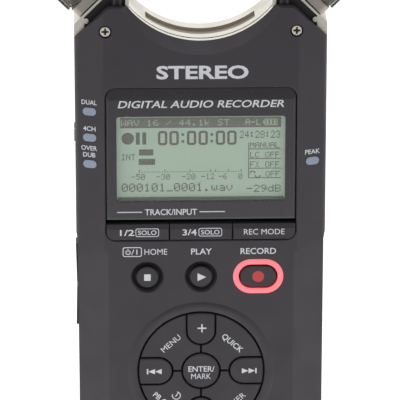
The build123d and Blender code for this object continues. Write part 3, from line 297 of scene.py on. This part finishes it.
SEGMENTS_CLEAR.glow((0.42, 0.62, 0.42), 0.1)
DISPLAY_SHADE = Surface("display_shade", (0.16, 0.19, 0.15), 0.4, drift=0.05, grain_depth=0, edge=0)


VALLEY_Z = 150.9 * MM  # centre of the valley's arc
VALLEY_RADIUS = 25.5 * MM
# Painted shade: the sunken band between the valley's rails gets a darker brown-grey than the silver, for the
# shade in its recess.
VALLEY_BAND_SHADE = Surface("valley_band_painted_shade", (0.42, 0.37, 0.31), 0.55, grain_depth=0.006 * MM)
# Painted shade: the thin groove in front of the valley's rail is coloured near black for the shade in it.
VALLEY_GROOVE_SHADE = Surface("valley_groove_painted_shade", (0.020, 0.018, 0.018), 0.6, edge=0)
# Painted shade: a darker copy of the satin silver for the microphone feet, which face down and to the front.
FOOT_SHADED_METAL = Surface("foot_metal_painted_shade", (0.40, 0.365, 0.325), 0.40, metallic=0.6, drift=0.06,
                     grain_scale=7000, grain_depth=0.004 * MM)
GUARD_METAL = Surface("guard_metal", (0.27, 0.235, 0.215), 0.34, metallic=0.7, drift=0.06,
                      grain_depth=0.003 * MM)
# Painted shade: the drive recesses of the front screws get a dark brown for the shade inside them.
SCREW_RECESS_SHADE = Surface("driver_recess_painted_shade", (0.055, 0.042, 0.028), 0.5, metallic=0.4, edge=0)
# Painted shade: the wells round the stop and play keys are coloured near black for the shade in them.
WELL_SHADE = Surface("key_well_painted_shade", (0.011, 0.0095, 0.012), 0.42, grain_depth=0.004 * MM)
GLOW_EDGE = Surface("record_ring_edge", (0.55, 0.02, 0.05), 0.35).glow((0.8, 0.015, 0.06), 0.30)


def paint_faces(node, surface, chosen):
    """A second material on the faces of a CAD node whose middle and normal are chosen."""
    made = NODES[node]
    index = len(made.data.materials)
    made.data.materials.append(surface.material)
    for polygon in made.data.polygons:
        if chosen(made.matrix_world @ polygon.center, polygon.normal):
            polygon.material_index = index


def in_valley(spot, deepest, front, back):
    """Whether the spot lies under the valley's surface between two depths of the recorder."""
    depth = sqrt(spot.x ** 2 + (spot.z - VALLEY_Z) ** 2) - VALLEY_RADIUS
    upright = spot.z > VALLEY_Z - VALLEY_RADIUS / 2 and abs(spot.x) > 19 * MM
    return not upright and 0.05 * MM < depth < deepest and front < spot.y < back


WELL_CENTRES = [middle(key) for key in ("stop_button", "play_button")]
WELL_REACH = 4.9 * MM  # just outside the wells' rims


def in_well(spot, _):
    """Whether the spot lies in the well round the stop or the play key."""
    if spot.y < FRONT_FACE + 0.02 * MM:
        return False
    return any(sqrt((spot.x - c.x) ** 2 + (spot.z - c.z) ** 2) < WELL_REACH for c in WELL_CENTRES)


def dress_cad_nodes():
    for part in frame["record"]["subparts"]:
        mesh = NODES[part["node"]].data
        mesh.materials.clear()
        mesh.materials.append(SURFACES[part["material_slot"]].material)
    for name, _ in SIDES:
        # Painted shade: the microphone feet get the darker copy of the silver.
        NODES[f"mic_foot_{name}"].data.materials[0] = FOOT_SHADED_METAL.material
        NODES[f"mic_cage_{name}"].data.materials[0] = GUARD_METAL.material

    # Painted shade on the mid frame: the valley's sunken band is coloured darker than the silver.
    paint_faces("mid_frame", VALLEY_BAND_SHADE, lambda spot, _: in_valley(spot, 1.1 * MM, -7.7 * MM, -2.0 * MM))
    # Painted shade: the thin groove in front of the valley's rail is coloured near black.
    paint_faces("mid_frame", VALLEY_GROOVE_SHADE, lambda spot, _: in_valley(spot, 0.8 * MM, -11.8 * MM, -10.9 * MM))
    # Painted shade: the faces in the key wells are coloured near black.
    paint_faces("front_shell", WELL_SHADE, in_well)
    head = low("front_screws").y
    # Painted shade: the faces inside the screw heads' drive recesses are coloured dark.
    paint_faces("front_screws", SCREW_RECESS_SHADE, lambda spot, _: spot.y > head + 0.1 * MM)
    ring_front = low("record_light_ring").y
    paint_faces("record_light_ring", GLOW_EDGE, lambda spot, _: spot.y > ring_front + 0.42 * MM)


dress_cad_nodes()


# ------------------------------------------------------------------ making pieces
def piece(name, bm, body, surface, smooth=False):
    """The bmesh as a piece of the recorder that rides on the body."""
    mesh = bpy.data.meshes.new(name)
    bmesh.ops.recalc_face_normals(bm, faces=bm.faces)
    bm.to_mesh(mesh)
    bm.free()
    for polygon in mesh.polygons:
        polygon.use_smooth = smooth
    mesh.materials.append(surface.material)
    made = bpy.data.objects.new(name, mesh)
    bpy.context.scene.collection.objects.link(made)
    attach(made, body)
    return made


def face_front(x, y, z, turn=0.0):
    """Placement of a mark that is drawn in XY, on a face that looks to -Y."""
    spin = Matrix.Rotation(radians(turn), 4, "Z")
    return Matrix.Translation((x, y, z)) @ Matrix.Rotation(radians(90), 4, "X") @ spin


def face_side(side, x, y, z, turn=0.0):
    """The same on a face that looks to -X or +X."""
    spin = Matrix.Rotation(radians(turn), 4, "Z")
    return Matrix.Translation((x, y, z)) @ Matrix.Rotation(radians(side * 90), 4, "Z") @ (
        Matrix.Rotation(radians(90), 4, "X") @ spin)


# ------------------------------------------------------------------ printed marks
INK_RISE = 0.025 * MM  # marks stand this proud of their face, and reach as far into it


def add_prism(bm, place, outline, hole=None):
    """A thin raised mark with that outline, and a hole with as many points."""
    def loop(points, height):
        return [bm.verts.new(place @ Vector((x, y, height))) for x, y in points]

    top, bottom = loop(outline, INK_RISE), loop(outline, -INK_RISE)
    if hole:
        inner_top, inner_bottom = loop(hole, INK_RISE), loop(hole, -INK_RISE)
    count = len(outline)
    if not hole:
        bm.faces.new(top)
        bm.faces.new(bottom[::-1])
    for i in range(count):
        j = (i + 1) % count
        bm.faces.new((top[i], bottom[i], bottom[j], top[j]))
        if hole:
            bm.faces.new((inner_top[i], inner_top[j], inner_bottom[j], inner_bottom[i]))
            bm.faces.new((top[i], top[j], inner_top[j], inner_top[i]))
            bm.faces.new((bottom[i], inner_bottom[i], inner_bottom[j], bottom[j]))


def rectangle(width, height, x=0.0, y=0.0):
    half, rise = width / 2, height / 2
    return [(x - half, y - rise), (x + half, y - rise), (x + half, y + rise), (x - half, y + rise)]


def rounded_rectangle(width, height, corner, steps=6):
    points = []
    for sign_x, sign_y, start in ((1, 1, 0), (-1, 1, 90), (-1, -1, 180), (1, -1, 270)):
        for step in range(steps + 1):
            angle = radians(start + 90 * step / steps)
            points.append((
                sign_x * (width / 2 - corner) + corner * cos(angle),
                sign_y * (height / 2 - corner) + corner * sin(angle),
            ))
    return points


def circle(radius, x=0.0, y=0.0, steps=32):
    turns = [2 * pi * step / steps for step in range(steps)]
    return [(x + radius * cos(turn), y + radius * sin(turn)) for turn in turns]


def arc_band(radius, width, start, end, steps=24):
    """A band along part of a circle, from the start angle to the end angle in degrees."""
    turns = [radians(start + (end - start) * step / steps) for step in range(steps + 1)]
    outer = [((radius + width / 2) * cos(t), (radius + width / 2) * sin(t)) for t in turns]
    inner = [((radius - width / 2) * cos(t), (radius - width / 2) * sin(t)) for t in turns]
    return outer + inner[::-1]


CAPITAL_HEIGHT = 0.69  # capitals of the built-in font at size 1


def add_text(bm, place, words, height, width=None, weight=0.0, lean=0.0):
    """Words in the built-in font, centred, with capitals of that height, fitted to that width."""
    curve = bpy.data.curves.new("words", "FONT")
    curve.body = words
    curve.align_x = "CENTER"
    curve.size = 1.0
    curve.resolution_u = 3
    curve.offset = 0.0 if "M" in words else weight  # an offset M fills its own openings
    curve.shear = lean
    holder = bpy.data.objects.new("words", curve)
    bpy.context.scene.collection.objects.link(holder)
    bpy.context.view_layer.update()
    flat = bpy.data.meshes.new_from_object(holder.evaluated_get(bpy.context.evaluated_depsgraph_get()))
    bpy.data.objects.remove(holder)
    bpy.data.curves.remove(curve)

    drawn = bmesh.new()
    drawn.from_mesh(flat)
    bpy.data.meshes.remove(flat)
    bmesh.ops.remove_doubles(drawn, verts=drawn.verts, dist=1e-5)
    xs = [v.co.x for v in drawn.verts]
    ys = [v.co.y for v in drawn.verts]
    fit_y = height / (CAPITAL_HEIGHT + 2 * weight)
    fit_x = width / (max(xs) - min(xs)) if width else fit_y
    height_sum = CAPITAL_HEIGHT if min(ys) < -0.02 else max(ys) + min(ys)  # a tail below is left out
    centre = Vector(((max(xs) + min(xs)) / 2, height_sum / 2, 0))
    for vertex in drawn.verts:
        x, y = (vertex.co.x - centre.x) * fit_x, (vertex.co.y - centre.y) * fit_y
        vertex.co = Vector((x, y, INK_RISE))
    faces = bmesh.ops.extrude_face_region(drawn, geom=list(drawn.faces))["geom"]
    for vertex in faces:
        if isinstance(vertex, bmesh.types.BMVert):
            vertex.co.z = -INK_RISE
    bmesh.ops.transform(drawn, matrix=place, verts=drawn.verts)
    solid = bpy.data.meshes.new("words")
    drawn.to_mesh(solid)
    drawn.free()
    bm.from_mesh(solid)
    bpy.data.meshes.remove(solid)


# ------------------------------------------------------------------ markings on the front
PRINT = 1.8 * MM  # capitals of the key labels
SMALL_PRINT = 1.35 * MM
BOLD = 0.013


def case_markings():
    bm = bmesh.new()
    front = FRONT_FACE
    add_text(bm, face_front(0.4 * MM, front, 117.3 * MM), "STEREO", 3.9 * MM, 25.5 * MM, 0.03)

    label_z = 64.4 * MM
    add_text(bm, face_front(-12.7 * MM, front, label_z), "HOME", PRINT, 6.4 * MM, BOLD)
    add_text(bm, face_front(0.1 * MM, front, label_z), "PLAY", PRINT, 5.8 * MM, BOLD)
    add_text(bm, face_front(16.1 * MM, front, label_z), "RECORD", PRINT, 10.0 * MM, BOLD)

    power = face_front(-19.3 * MM, front, label_z)
    add_prism(bm, power, rounded_rectangle(5.4 * MM, 2.9 * MM, 0.6 * MM),
              rounded_rectangle(4.9 * MM, 2.4 * MM, 0.4 * MM))
    symbol = power @ Matrix.Translation((-1.2 * MM, -0.1 * MM, 0))
    add_prism(bm, symbol, arc_band(0.62 * MM, 0.26 * MM, 125, 415))
    add_prism(bm, symbol, rectangle(0.26 * MM, 0.9 * MM, 0, 0.55 * MM))
    slash = power @ Matrix.Rotation(radians(-22), 4, "Z")
    add_prism(bm, slash, rectangle(0.24 * MM, 1.7 * MM, 0.15 * MM, 0))
    add_prism(bm, power, rectangle(0.3 * MM, 1.5 * MM, 1.3 * MM, 0))
    return piece("case_markings", bm, "case", INK)


def bezel_markings():
    bm = bmesh.new()
    front = low("display_bezel").y
    add_text(bm, face_front(0, front, 107.9 * MM), "DIGITAL AUDIO RECORDER", 2.1 * MM, 46.2 * MM, BOLD, 0.2)
    track_z = 76.1 * MM
    add_text(bm, face_front(-8.4 * MM, front, track_z), "TRACK/INPUT", PRINT, 14.6 * MM, BOLD)
    for start, end in ((-23.5 * MM, -16.5 * MM), (-0.4 * MM, 6.7 * MM)):
        rule = face_front((start + end) / 2, front, track_z)
        add_prism(bm, rule, rectangle(end - start, 0.28 * MM))
    return piece("bezel_markings", bm, "case", INK)


MARGIN_SLOPE = radians(18)
MARGIN_EDGE_X = 27.0 * MM  # the flat front ends here and slopes back beyond it


def margin_markings():
    """Labels over the indicator windows, on the margins that slope back."""
    bm = bmesh.new()
    for x, z, words, width in (
        (-31.0 * MM, 108.4 * MM, "DUAL", 4.4 * MM),
        (-31.0 * MM, 100.7 * MM, "4CH", 3.6 * MM),
        (-31.1 * MM, 95.0 * MM, "OVER", 4.6 * MM),
        (-31.1 * MM, 93.0 * MM, "DUB", 3.6 * MM),
        (31.1 * MM, 93.4 * MM, "PEAK", 4.4 * MM),
    ):
        side = 1 if x > 0 else -1
        y = FRONT_FACE + (abs(x) - MARGIN_EDGE_X) * sin(MARGIN_SLOPE) / cos(MARGIN_SLOPE)
        place = Matrix.Translation((x, y, z)) @ Matrix.Rotation(side * MARGIN_SLOPE, 4, "Z")
        add_text(bm, place @ Matrix.Rotation(radians(90), 4, "X"), words, SMALL_PRINT, width, BOLD)
    return piece("margin_markings", bm, "case", INK)


def key_marking(node, draw, surface=INK):
    """Marks on the front face of one key, drawn by draw(bm, place) about the key's middle."""
    bm = bmesh.new()
    centre = middle(node)
    draw(bm, face_front(centre.x, low(node).y, centre.z))
    return piece(f"{node}_marking", bm, node, surface)


def moved(place, x=0.0, y=0.0, turn=0.0):
    return place @ Matrix.Translation((x * MM, y * MM, 0)) @ Matrix.Rotation(radians(turn), 4, "Z")


def solo_label(words, words_x, box_x):
    def draw(bm, place):
        add_text(bm, moved(place, words_x), words, PRINT, 4.0 * MM, BOLD)
        box = moved(place, box_x)
        add_prism(bm, box, rounded_rectangle(6.6 * MM, 2.5 * MM, 0.6 * MM),
                  rounded_rectangle(6.2 * MM, 2.1 * MM, 0.45 * MM))
        add_text(bm, box, "SOLO", SMALL_PRINT, 5.2 * MM, BOLD)
    return draw


def words_label(words, width, x=0.0, y=0.0, turn=0.0):
    def draw(bm, place):
        add_text(bm, moved(place, x, y, turn), words, PRINT * 0.94, width * MM, BOLD)
    return draw


def skip_label(direction, shift):
    """Two triangles and a bar that point the way."""
    def draw(bm, place):
        mark = moved(place, shift)
        for start in (-2.15, -0.25):
            points = [(start, -0.8), (start + 1.85, 0), (start, 0.8)]
            if direction < 0:
                points = [(-x, y) for x, y in reversed(points)]
            add_prism(bm, mark, [(x * MM, y * MM) for x, y in points])
        add_prism(bm, mark, rectangle(0.42 * MM, 1.6 * MM, direction * 1.85 * MM))
    return draw


def stop_label(bm, place):
    add_prism(bm, place, rectangle(1.85 * MM, 1.95 * MM))


def play_label(bm, place):
    add_prism(bm, place, [(-1.0 * MM, -1.2 * MM), (1.45 * MM, 0), (-1.0 * MM, 1.2 * MM)])


def plus_label(bm, place):
    half, stroke = 1.25 * MM, 0.2 * MM
    add_prism(bm, moved(place, 0.25, 0.2), [
        (half, -stroke), (half, stroke), (stroke, stroke), (stroke, half),
        (-stroke, half), (-stroke, stroke), (-half, stroke), (-half, -stroke),
        (-stroke, -stroke), (-stroke, -half), (stroke, -half), (stroke, -stroke),
    ])


def minus_label(bm, place):
    add_prism(bm, place, rectangle(2.6 * MM, 0.52 * MM))


def enter_label(bm, place):
    add_text(bm, moved(place, 0.1, 0.65), "ENTER/", PRINT * 0.94, 7.4 * MM, BOLD)
    add_text(bm, moved(place, 0.0, -1.6), "MARK", PRINT * 0.94, 5.6 * MM, BOLD)


def record_dot(bm, place):
    add_prism(bm, place, circle(1.66 * MM))


def playback_label(bm, place):
    add_text(bm, moved(place, -1.6, -1.0, -42), "PB CTRL", PRINT * 0.9, 8.2 * MM, BOLD)
    add_prism(bm, moved(place, 1.6, 1.1), arc_band(1.15 * MM, 0.26 * MM, -200, 80))
    add_prism(bm, moved(place, 1.6, 1.1, -35), rectangle(0.26 * MM, 1.3 * MM, 0, 0.2 * MM))


def key_markings():
    key_marking("soft_key_left", solo_label("1/2", -3.0, 2.65))
    key_marking("soft_key_middle", solo_label("3/4", -3.2, 2.6))
    key_marking("soft_key_right", words_label("REC MODE", 11.4))
    key_marking("stop_button", stop_label)
    key_marking("play_button", play_label)
    key_marking("record_button", record_dot, RED_INK)
    key_marking("enter_button", enter_label)
    key_marking("plus_button", plus_label)
    key_marking("minus_button", minus_label)
    key_marking("skip_back_button", skip_label(-1, -0.4))
    key_marking("skip_forward_button", skip_label(1, 0.8))
    key_marking("menu_button", words_label("MENU", 6.6, 0.1, -0.2, 42))
    key_marking("quick_button", words_label("QUICK", 7.2, 0.3, -0.2, -42))
    key_marking("mixer_button", words_label("MIXER", 7.2, 1.0, -1.0, 42))
    key_marking("playback_button", playback_label)


# ------------------------------------------------------------------ the display's picture
LCD_LEFT = low("display_lens").x
LCD_TOP = high("display_lens").z
LCD_FACE = low("lcd_panel").y


def lcd(x, y, turn=0.0):
    """Placement on the display, x right and y down from its top left corner, in millimetres."""
    return face_front(LCD_LEFT + x * MM, LCD_FACE, LCD_TOP - y * MM, turn)


def add_zero(bm, x, y, width=2.6, height=4.2, stroke=0.68):
    """A large zero; its middle is at x, y."""
    add_prism(bm, lcd(x, y), rounded_rectangle(width * MM, height * MM, 0.55 * MM, 1),
              rounded_rectangle((width - 2 * stroke) * MM, (height - 2 * stroke) * MM, 0.1 * MM, 1))


# The display's letters: seven rows of five dots, top row first
DOTS = {
    "0": "01110 10001 10011 10101 11001 10001 01110",
    "1": "00100 01100 00100 00100 00100 00100 01110",
    "2": "01110 10001 00001 00010 00100 01000 11111",
    "3": "01110 10001 00001 00110 00001 10001 01110",
    "4": "00010 00110 01010 10010 11111 00010 00010",
    "5": "11111 10000 11110 00001 00001 10001 01110",
    "6": "00110 01000 10000 11110 10001 10001 01110",
    "8": "01110 10001 10001 01110 10001 10001 01110",
    "9": "01110 10001 10001 01111 00001 00010 01100",
    "A": "01110 10001 10001 11111 10001 10001 10001",
    "B": "11110 10001 10001 11110 10001 10001 11110",
    "C": "01110 10001 10000 10000 10000 10001 01110",
    "F": "11111 10000 10000 11110 10000 10000 10000",
    "I": "01110 00100 00100 00100 00100 00100 01110",
    "L": "10000 10000 10000 10000 10000 10000 11111",
    "M": "10001 11011 10101 10101 10001 10001 10001",
    "N": "10001 11001 10101 10101 10011 10001 10001",
    "O": "01110 10001 10001 10001 10001 10001 01110",
    "S": "01111 10000 10000 01110 00001 00001 11110",
    "T": "11111 00100 00100 00100 00100 00100 00100",
    "U": "10001 10001 10001 10001 10001 10001 01110",
    "V": "10001 10001 10001 10001 01010 01010 00100",
    "W": "10001 10001 10001 10101 10101 11011 10001",
    "X": "10001 01010 00100 00100 00100 01010 10001",
    "a": "00000 00000 01110 00001 01111 10001 01111",
    "d": "00001 00001 01111 10001 10001 10001 01111",
    "k": "10000 10000 10010 10100 11000 10100 10010",
    "v": "00000 00000 10001 10001 10001 01010 00100",
    "w": "00000 00000 10001 10001 10101 10101 01010",
    "-": "00000 00000 00000 11111 00000 00000 00000",
    "_": "00000 00000 00000 00000 00000 00000 11111",
    "/": "00000 00001 00010 00100 01000 10000 00000",
    ".": "00000 00000 00000 00000 00000 01100 01100",
    ":": "00000 01100 01100 00000 01100 01100 00000",
    " ": "00000 00000 00000 00000 00000 00000 00000",
}


DOT_GAP = 0.04  # space between two bars in a row, as a share of a dot
ROW_FILL = 0.97  # height of a bar, as a share of its row


def add_dots(bm, place, words, height, width):
    """Words made of the display's dots, centred; the dots of a row join into bars."""
    column, row = width / (6 * len(words) - 1), height / 7
    for index, letter in enumerate(words):
        for line, dots in enumerate(DOTS[letter].split()):
            start = 0
            while start < 5:
                end = start
                while end < 5 and dots[end] == "1":
                    end += 1
                if end > start:
                    centre = (6 * index + (start + end) / 2) * column - width / 2
                    rise = height / 2 - (line + 0.5) * row
                    length = (end - start - DOT_GAP) * column
                    add_prism(bm, place, rectangle(length, ROW_FILL * row, centre, rise))
                start = end + 1


def display_picture():
    dark = bmesh.new()
    clear = bmesh.new()

    # Status bar along the top, with its words left clear
    strip = bmesh.new()
    add_prism(strip, lcd(23.4, 2.2), rectangle(44.8 * MM, 3.1 * MM))
    piece("display_status_bar", strip, "case", STATUS_BAR)
    raised = Matrix.Translation((0, 0, 2 * INK_RISE))
    add_dots(clear, lcd(16.3, 2.2) @ raised, "WAV 16 / 44.1k ST", 1.75 * MM, 30.2 * MM)
    add_dots(clear, lcd(38.0, 2.2) @ raised, "A-L", 1.75 * MM, 4.3 * MM)
    add_prism(clear, lcd(43.0, 2.2) @ raised, rectangle(3.6 * MM, 1.9 * MM), rectangle(3.1 * MM, 1.4 * MM))
    for bar in range(3):
        add_prism(clear, lcd(42.0 + bar, 2.2) @ raised, rectangle(0.6 * MM, 1.2 * MM))
    add_prism(clear, lcd(40.95, 2.2) @ raised, rectangle(0.4 * MM, 0.9 * MM))

    # Record and pause signs, elapsed and remaining time
    add_prism(dark, lcd(3.1, 6.8), circle(1.75 * MM))
    for bar_x in (5.9, 7.7):
        add_prism(dark, lcd(bar_x, 6.8), rectangle(1.1 * MM, 3.6 * MM))
    for digit_x in (12.8, 16.0, 20.85, 24.1, 28.9, 32.1):
        add_zero(dark, digit_x, 6.75)
    for colon_x in (18.45, 26.5):
        for colon_y in (5.75, 7.75):
            add_prism(dark, lcd(colon_x, colon_y), rectangle(0.75 * MM, 0.75 * MM))
    add_dots(dark, lcd(39.9, 5.85), "24:28:23", 2.15 * MM, 11.3 * MM)

    # Settings, each over a rule, with one rule down their left side
    for row, words in enumerate(("MANUAL", "LC OFF", "FX OFF")):
        add_dots(dark, lcd(41.3, 9.0 + 2.85 * row), words, 1.7 * MM, 8.2 * MM)
    add_dots(dark, lcd(43.5, 17.55), "OFF", 1.7 * MM, 3.9 * MM)
    for start, tilt in ((37.9, 1), (39.3, -1)):
        add_prism(dark, lcd(start, 17.4 + (1 - tilt) * 0.25, 0), arc_band(0.7 * MM, 0.3 * MM, 0, 180 * tilt))
    for row in range(4):
        add_prism(dark, lcd(41.3, 10.15 + 2.85 * row), rectangle(9.0 * MM, 0.24 * MM))
    add_prism(dark, lcd(36.8, 13.5), rectangle(0.24 * MM, 10.4 * MM))

    # Input, level bars and their scale
    add_dots(dark, lcd(3.2, 12.3), "INT", 1.8 * MM, 3.9 * MM)
    add_prism(dark, lcd(8.2, 10.9), rectangle(4.0 * MM, 1.8 * MM))
    add_prism(dark, lcd(8.4, 13.7), rectangle(4.6 * MM, 1.8 * MM))
    first, last, ticks = 6.3, 34.7, 41
    for tick in range(ticks):
        long_tick = tick % 10 == 0 or tick in (28, 35)
        height = 0.9 if long_tick else 0.35
        tick_x = first + (last - first) * tick / (ticks - 1)
        add_prism(dark, lcd(tick_x, 16.9 - height / 2), rectangle(0.26 * MM, height * MM))
    for label_x, words, width in (
        (5.9, "-50", 3.8), (12.9, "-30", 3.8), (20.0, "-20", 3.8),
        (25.4, "-12", 3.7), (29.6, "-6", 2.4), (34.5, "0", 1.1),
    ):
        add_dots(dark, lcd(label_x, 18.15), words, 1.7 * MM, width * MM)

    # Take name and level
    add_dots(dark, lcd(16.8, 21.3), "000101_0001.wav", 2.45 * MM, 31.0 * MM)
    add_dots(dark, lcd(41.0, 21.8), "-29dB", 2.1 * MM, 9.6 * MM)

    # Painted shade: a darker strip on the display's face along the glass's lower edge, for the window's inner
    # ledge in shade
    shade = bmesh.new()
    add_prism(shade, lcd(23.4, 24.55), rectangle(46.4 * MM, 0.9 * MM))
    piece("display_ledge_painted_shade", shade, "case", DISPLAY_SHADE)

    piece("display_segments", dark, "case", SEGMENTS)
    piece("display_clear_segments", clear, "case", SEGMENTS_CLEAR)


# ------------------------------------------------------------------ side and rear markings
def side_markings():
    bm = bmesh.new()
    left, right = low("front_shell").x, high("front_shell").x
    edge_y = middle("volume_rocker").y - 5.2 * MM

    def side_text(side, z, words, width, y=edge_y):
        face_x = left if side < 0 else right
        add_text(bm, face_side(side, face_x, y, z, 90), words, SMALL_PRINT, width * MM, BOLD)

    side_text(-1, high("headphone_jack").z - 3.0 * MM, "PHONES", 6.4)
    side_text(-1, middle("hold_switch").z, "HOLD", 4.4)
    side_text(1, middle("usb_socket").z, "USB", 3.4)
    side_text(1, middle("card_door").z, "CARD", 4.4, edge_y - 0.3 * MM)
    return piece("side_markings", bm, "case", INK)


# ------------------------------------------------------------------ woven microphone baskets
WIRE = 0.11 * MM  # radius of the basket's wires
PITCH = 0.62 * MM


def add_wire(bm, points, closed=False, sides=4):
    """A tube of the wire's radius through the points."""
    rings = []
    count = len(points)
    for index, point in enumerate(points):
        before = points[index - 1] if index or closed else point
        after = points[(index + 1) % count] if index + 1 < count or closed else point
        along = (after - before).normalized()
        across = along.cross(Vector((0.31, 0.87, 0.39))).normalized()
        other = along.cross(across)
        ring = []
        for side in range(sides):
            turn = 2 * pi * side / sides
            ring.append(bm.verts.new(point + WIRE * (cos(turn) * across + sin(turn) * other)))
        rings.append(ring)
    for index in range(count if closed else count - 1):
        ring, following = rings[index], rings[(index + 1) % count]
        for side in range(sides):
            after = (side + 1) % sides
            bm.faces.new((ring[side], ring[after], following[after], following[side]))
    if not closed:
        bm.faces.new(rings[0][::-1])
        bm.faces.new(rings[-1])


def microphone_basket(name, side):
    """Wire cloth round the capsule and over its end, on the CAD basket's outer faces."""
    node = f"mic_grille_{name}"
    lowest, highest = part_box(node)
    radius = (highest.y - lowest.y) / 2
    length = (highest.x - lowest.x) * sqrt(2) - 2 * radius
    tilt = Matrix.Rotation(side * radians(45), 4, "Y")
    place = Matrix.Translation((lowest + highest) / 2) @ tilt @ Matrix.Translation((0, 0, -length / 2))
    bm = bmesh.new()

    wall = radius - 2 * WIRE
    columns = 2 * round(pi * wall / PITCH)
    rows = round((length - 2 * WIRE) / PITCH)
    for column in range(columns):
        turn = 2 * pi * column / columns
        points = []
        for row in range(rows + 1):
            reach = wall + WIRE * (1 if (row + column) % 2 else -1)
            height = WIRE + (length - 2 * WIRE) * row / rows
            points.append(place @ Vector((reach * cos(turn), reach * sin(turn), height)))
        add_wire(bm, points)
    for row in range(rows + 1):
        height = WIRE + (length - 2 * WIRE) * row / rows
        points = []
        for column in range(columns):
            turn = 2 * pi * column / columns
            reach = wall - WIRE * (1 if (row + column) % 2 else -1)
            points.append(place @ Vector((reach * cos(turn), reach * sin(turn), height)))
        add_wire(bm, points, closed=True)

    top = length - 2 * WIRE
    reach_count = int((radius - 3 * WIRE) / PITCH)
    for line in range(-reach_count, reach_count + 1):
        across = line * PITCH
        half_count = int(sqrt((radius - 2 * WIRE) ** 2 - across ** 2) / PITCH)
        if half_count < 1:
            continue
        for swap in (False, True):
            points = []
            for step in range(-half_count, half_count + 1):
                phase = 1 if (line + step) % 2 else -1
                height = top + WIRE * (phase if swap else -phase)
                flat = (step * PITCH, across) if swap else (across, step * PITCH)
                points.append(place @ Vector((*flat, height)))
            add_wire(bm, points)
    wire = SURFACES["grille"]
    basket = piece(f"woven_basket_{name}", bm, f"{name}_microphone", wire, smooth=True)
    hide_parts(node)


# ------------------------------------------------------------------ studio
def make_studio():
    bm = bmesh.new()
    corners = [(x, y, -0.05 * MM) for x, y in ((-4, -4), (4, -4), (4, 4), (-4, 4))]
    bm.faces.new([bm.verts.new(corner) for corner in corners])
    mesh = bpy.data.meshes.new("floor")
    bm.to_mesh(mesh)
    bm.free()
    floor = bpy.data.objects.new("floor", mesh)
    bpy.context.scene.collection.objects.link(floor)
    surface = Surface("floor_paper", (0.90, 0.90, 0.90), 0.8, drift=0.01, grain_depth=0, edge=0)
    surface.glow((1.0, 0.99, 0.98), 0.0)
    apart = surface.add("ShaderNodeSeparateXYZ")
    surface.link(surface.place, apart.inputs["Vector"])
    # Painted light: the floor's glow is strongest near the recorder and falls off towards the front.
    painted_light = surface.spread(apart.outputs["Y"], FLOOR_PAINTED_LIGHT_FRONT, FLOOR_PAINTED_LIGHT, -0.32, -0.08)
    surface.link(painted_light, surface.shader.inputs["Emission Strength"])
    mesh.materials.append(surface.material)

    world = bpy.data.worlds.new("studio")
    world.use_nodes = True
    world.node_tree.nodes["Background"].inputs["Color"].default_value = (1.0, 0.985, 0.975, 1)
    world.node_tree.nodes["Background"].inputs["Strength"].default_value = WORLD_STRENGTH
    bpy.context.scene.world = world
    bpy.context.scene.view_settings.view_transform = "Standard"


def softbox(name, spot, aim, size, power):
    data = bpy.data.lights.new(name, "AREA")
    data.shape = "SQUARE"
    data.size = size
    data.energy = power
    light = bpy.data.objects.new(name, data)
    light.location = spot
    light.rotation_euler = (Vector(aim) - Vector(spot)).to_track_quat("-Z", "Y").to_euler()
    light.visible_camera = False
    bpy.context.scene.collection.objects.link(light)


WORLD_STRENGTH = 0.22
FLOOR_PAINTED_LIGHT = 0.62  # painted light: the paper glows, strongest near the recorder and less towards the front
FLOOR_PAINTED_LIGHT_FRONT = 0.0

case_markings()
bezel_markings()
margin_markings()
key_markings()
display_picture()
side_markings()
for mic_name, mic_side in SIDES:
    microphone_basket(mic_name, mic_side)
make_studio()
softbox("overhead", (0.0, 0.1, 0.95), (0, 0, 0.08), 1.2, 4.5)
softbox("left_side", (-0.9, -0.25, 0.40), (0, 0, 0.08), 0.9, 3.2)
softbox("right_side", (0.9, -0.25, 0.40), (0, 0, 0.08), 0.9, 2.6)
softbox("behind", (0.0, 1.2, 0.55), (0, 0, 0.10), 1.3, 5.0)
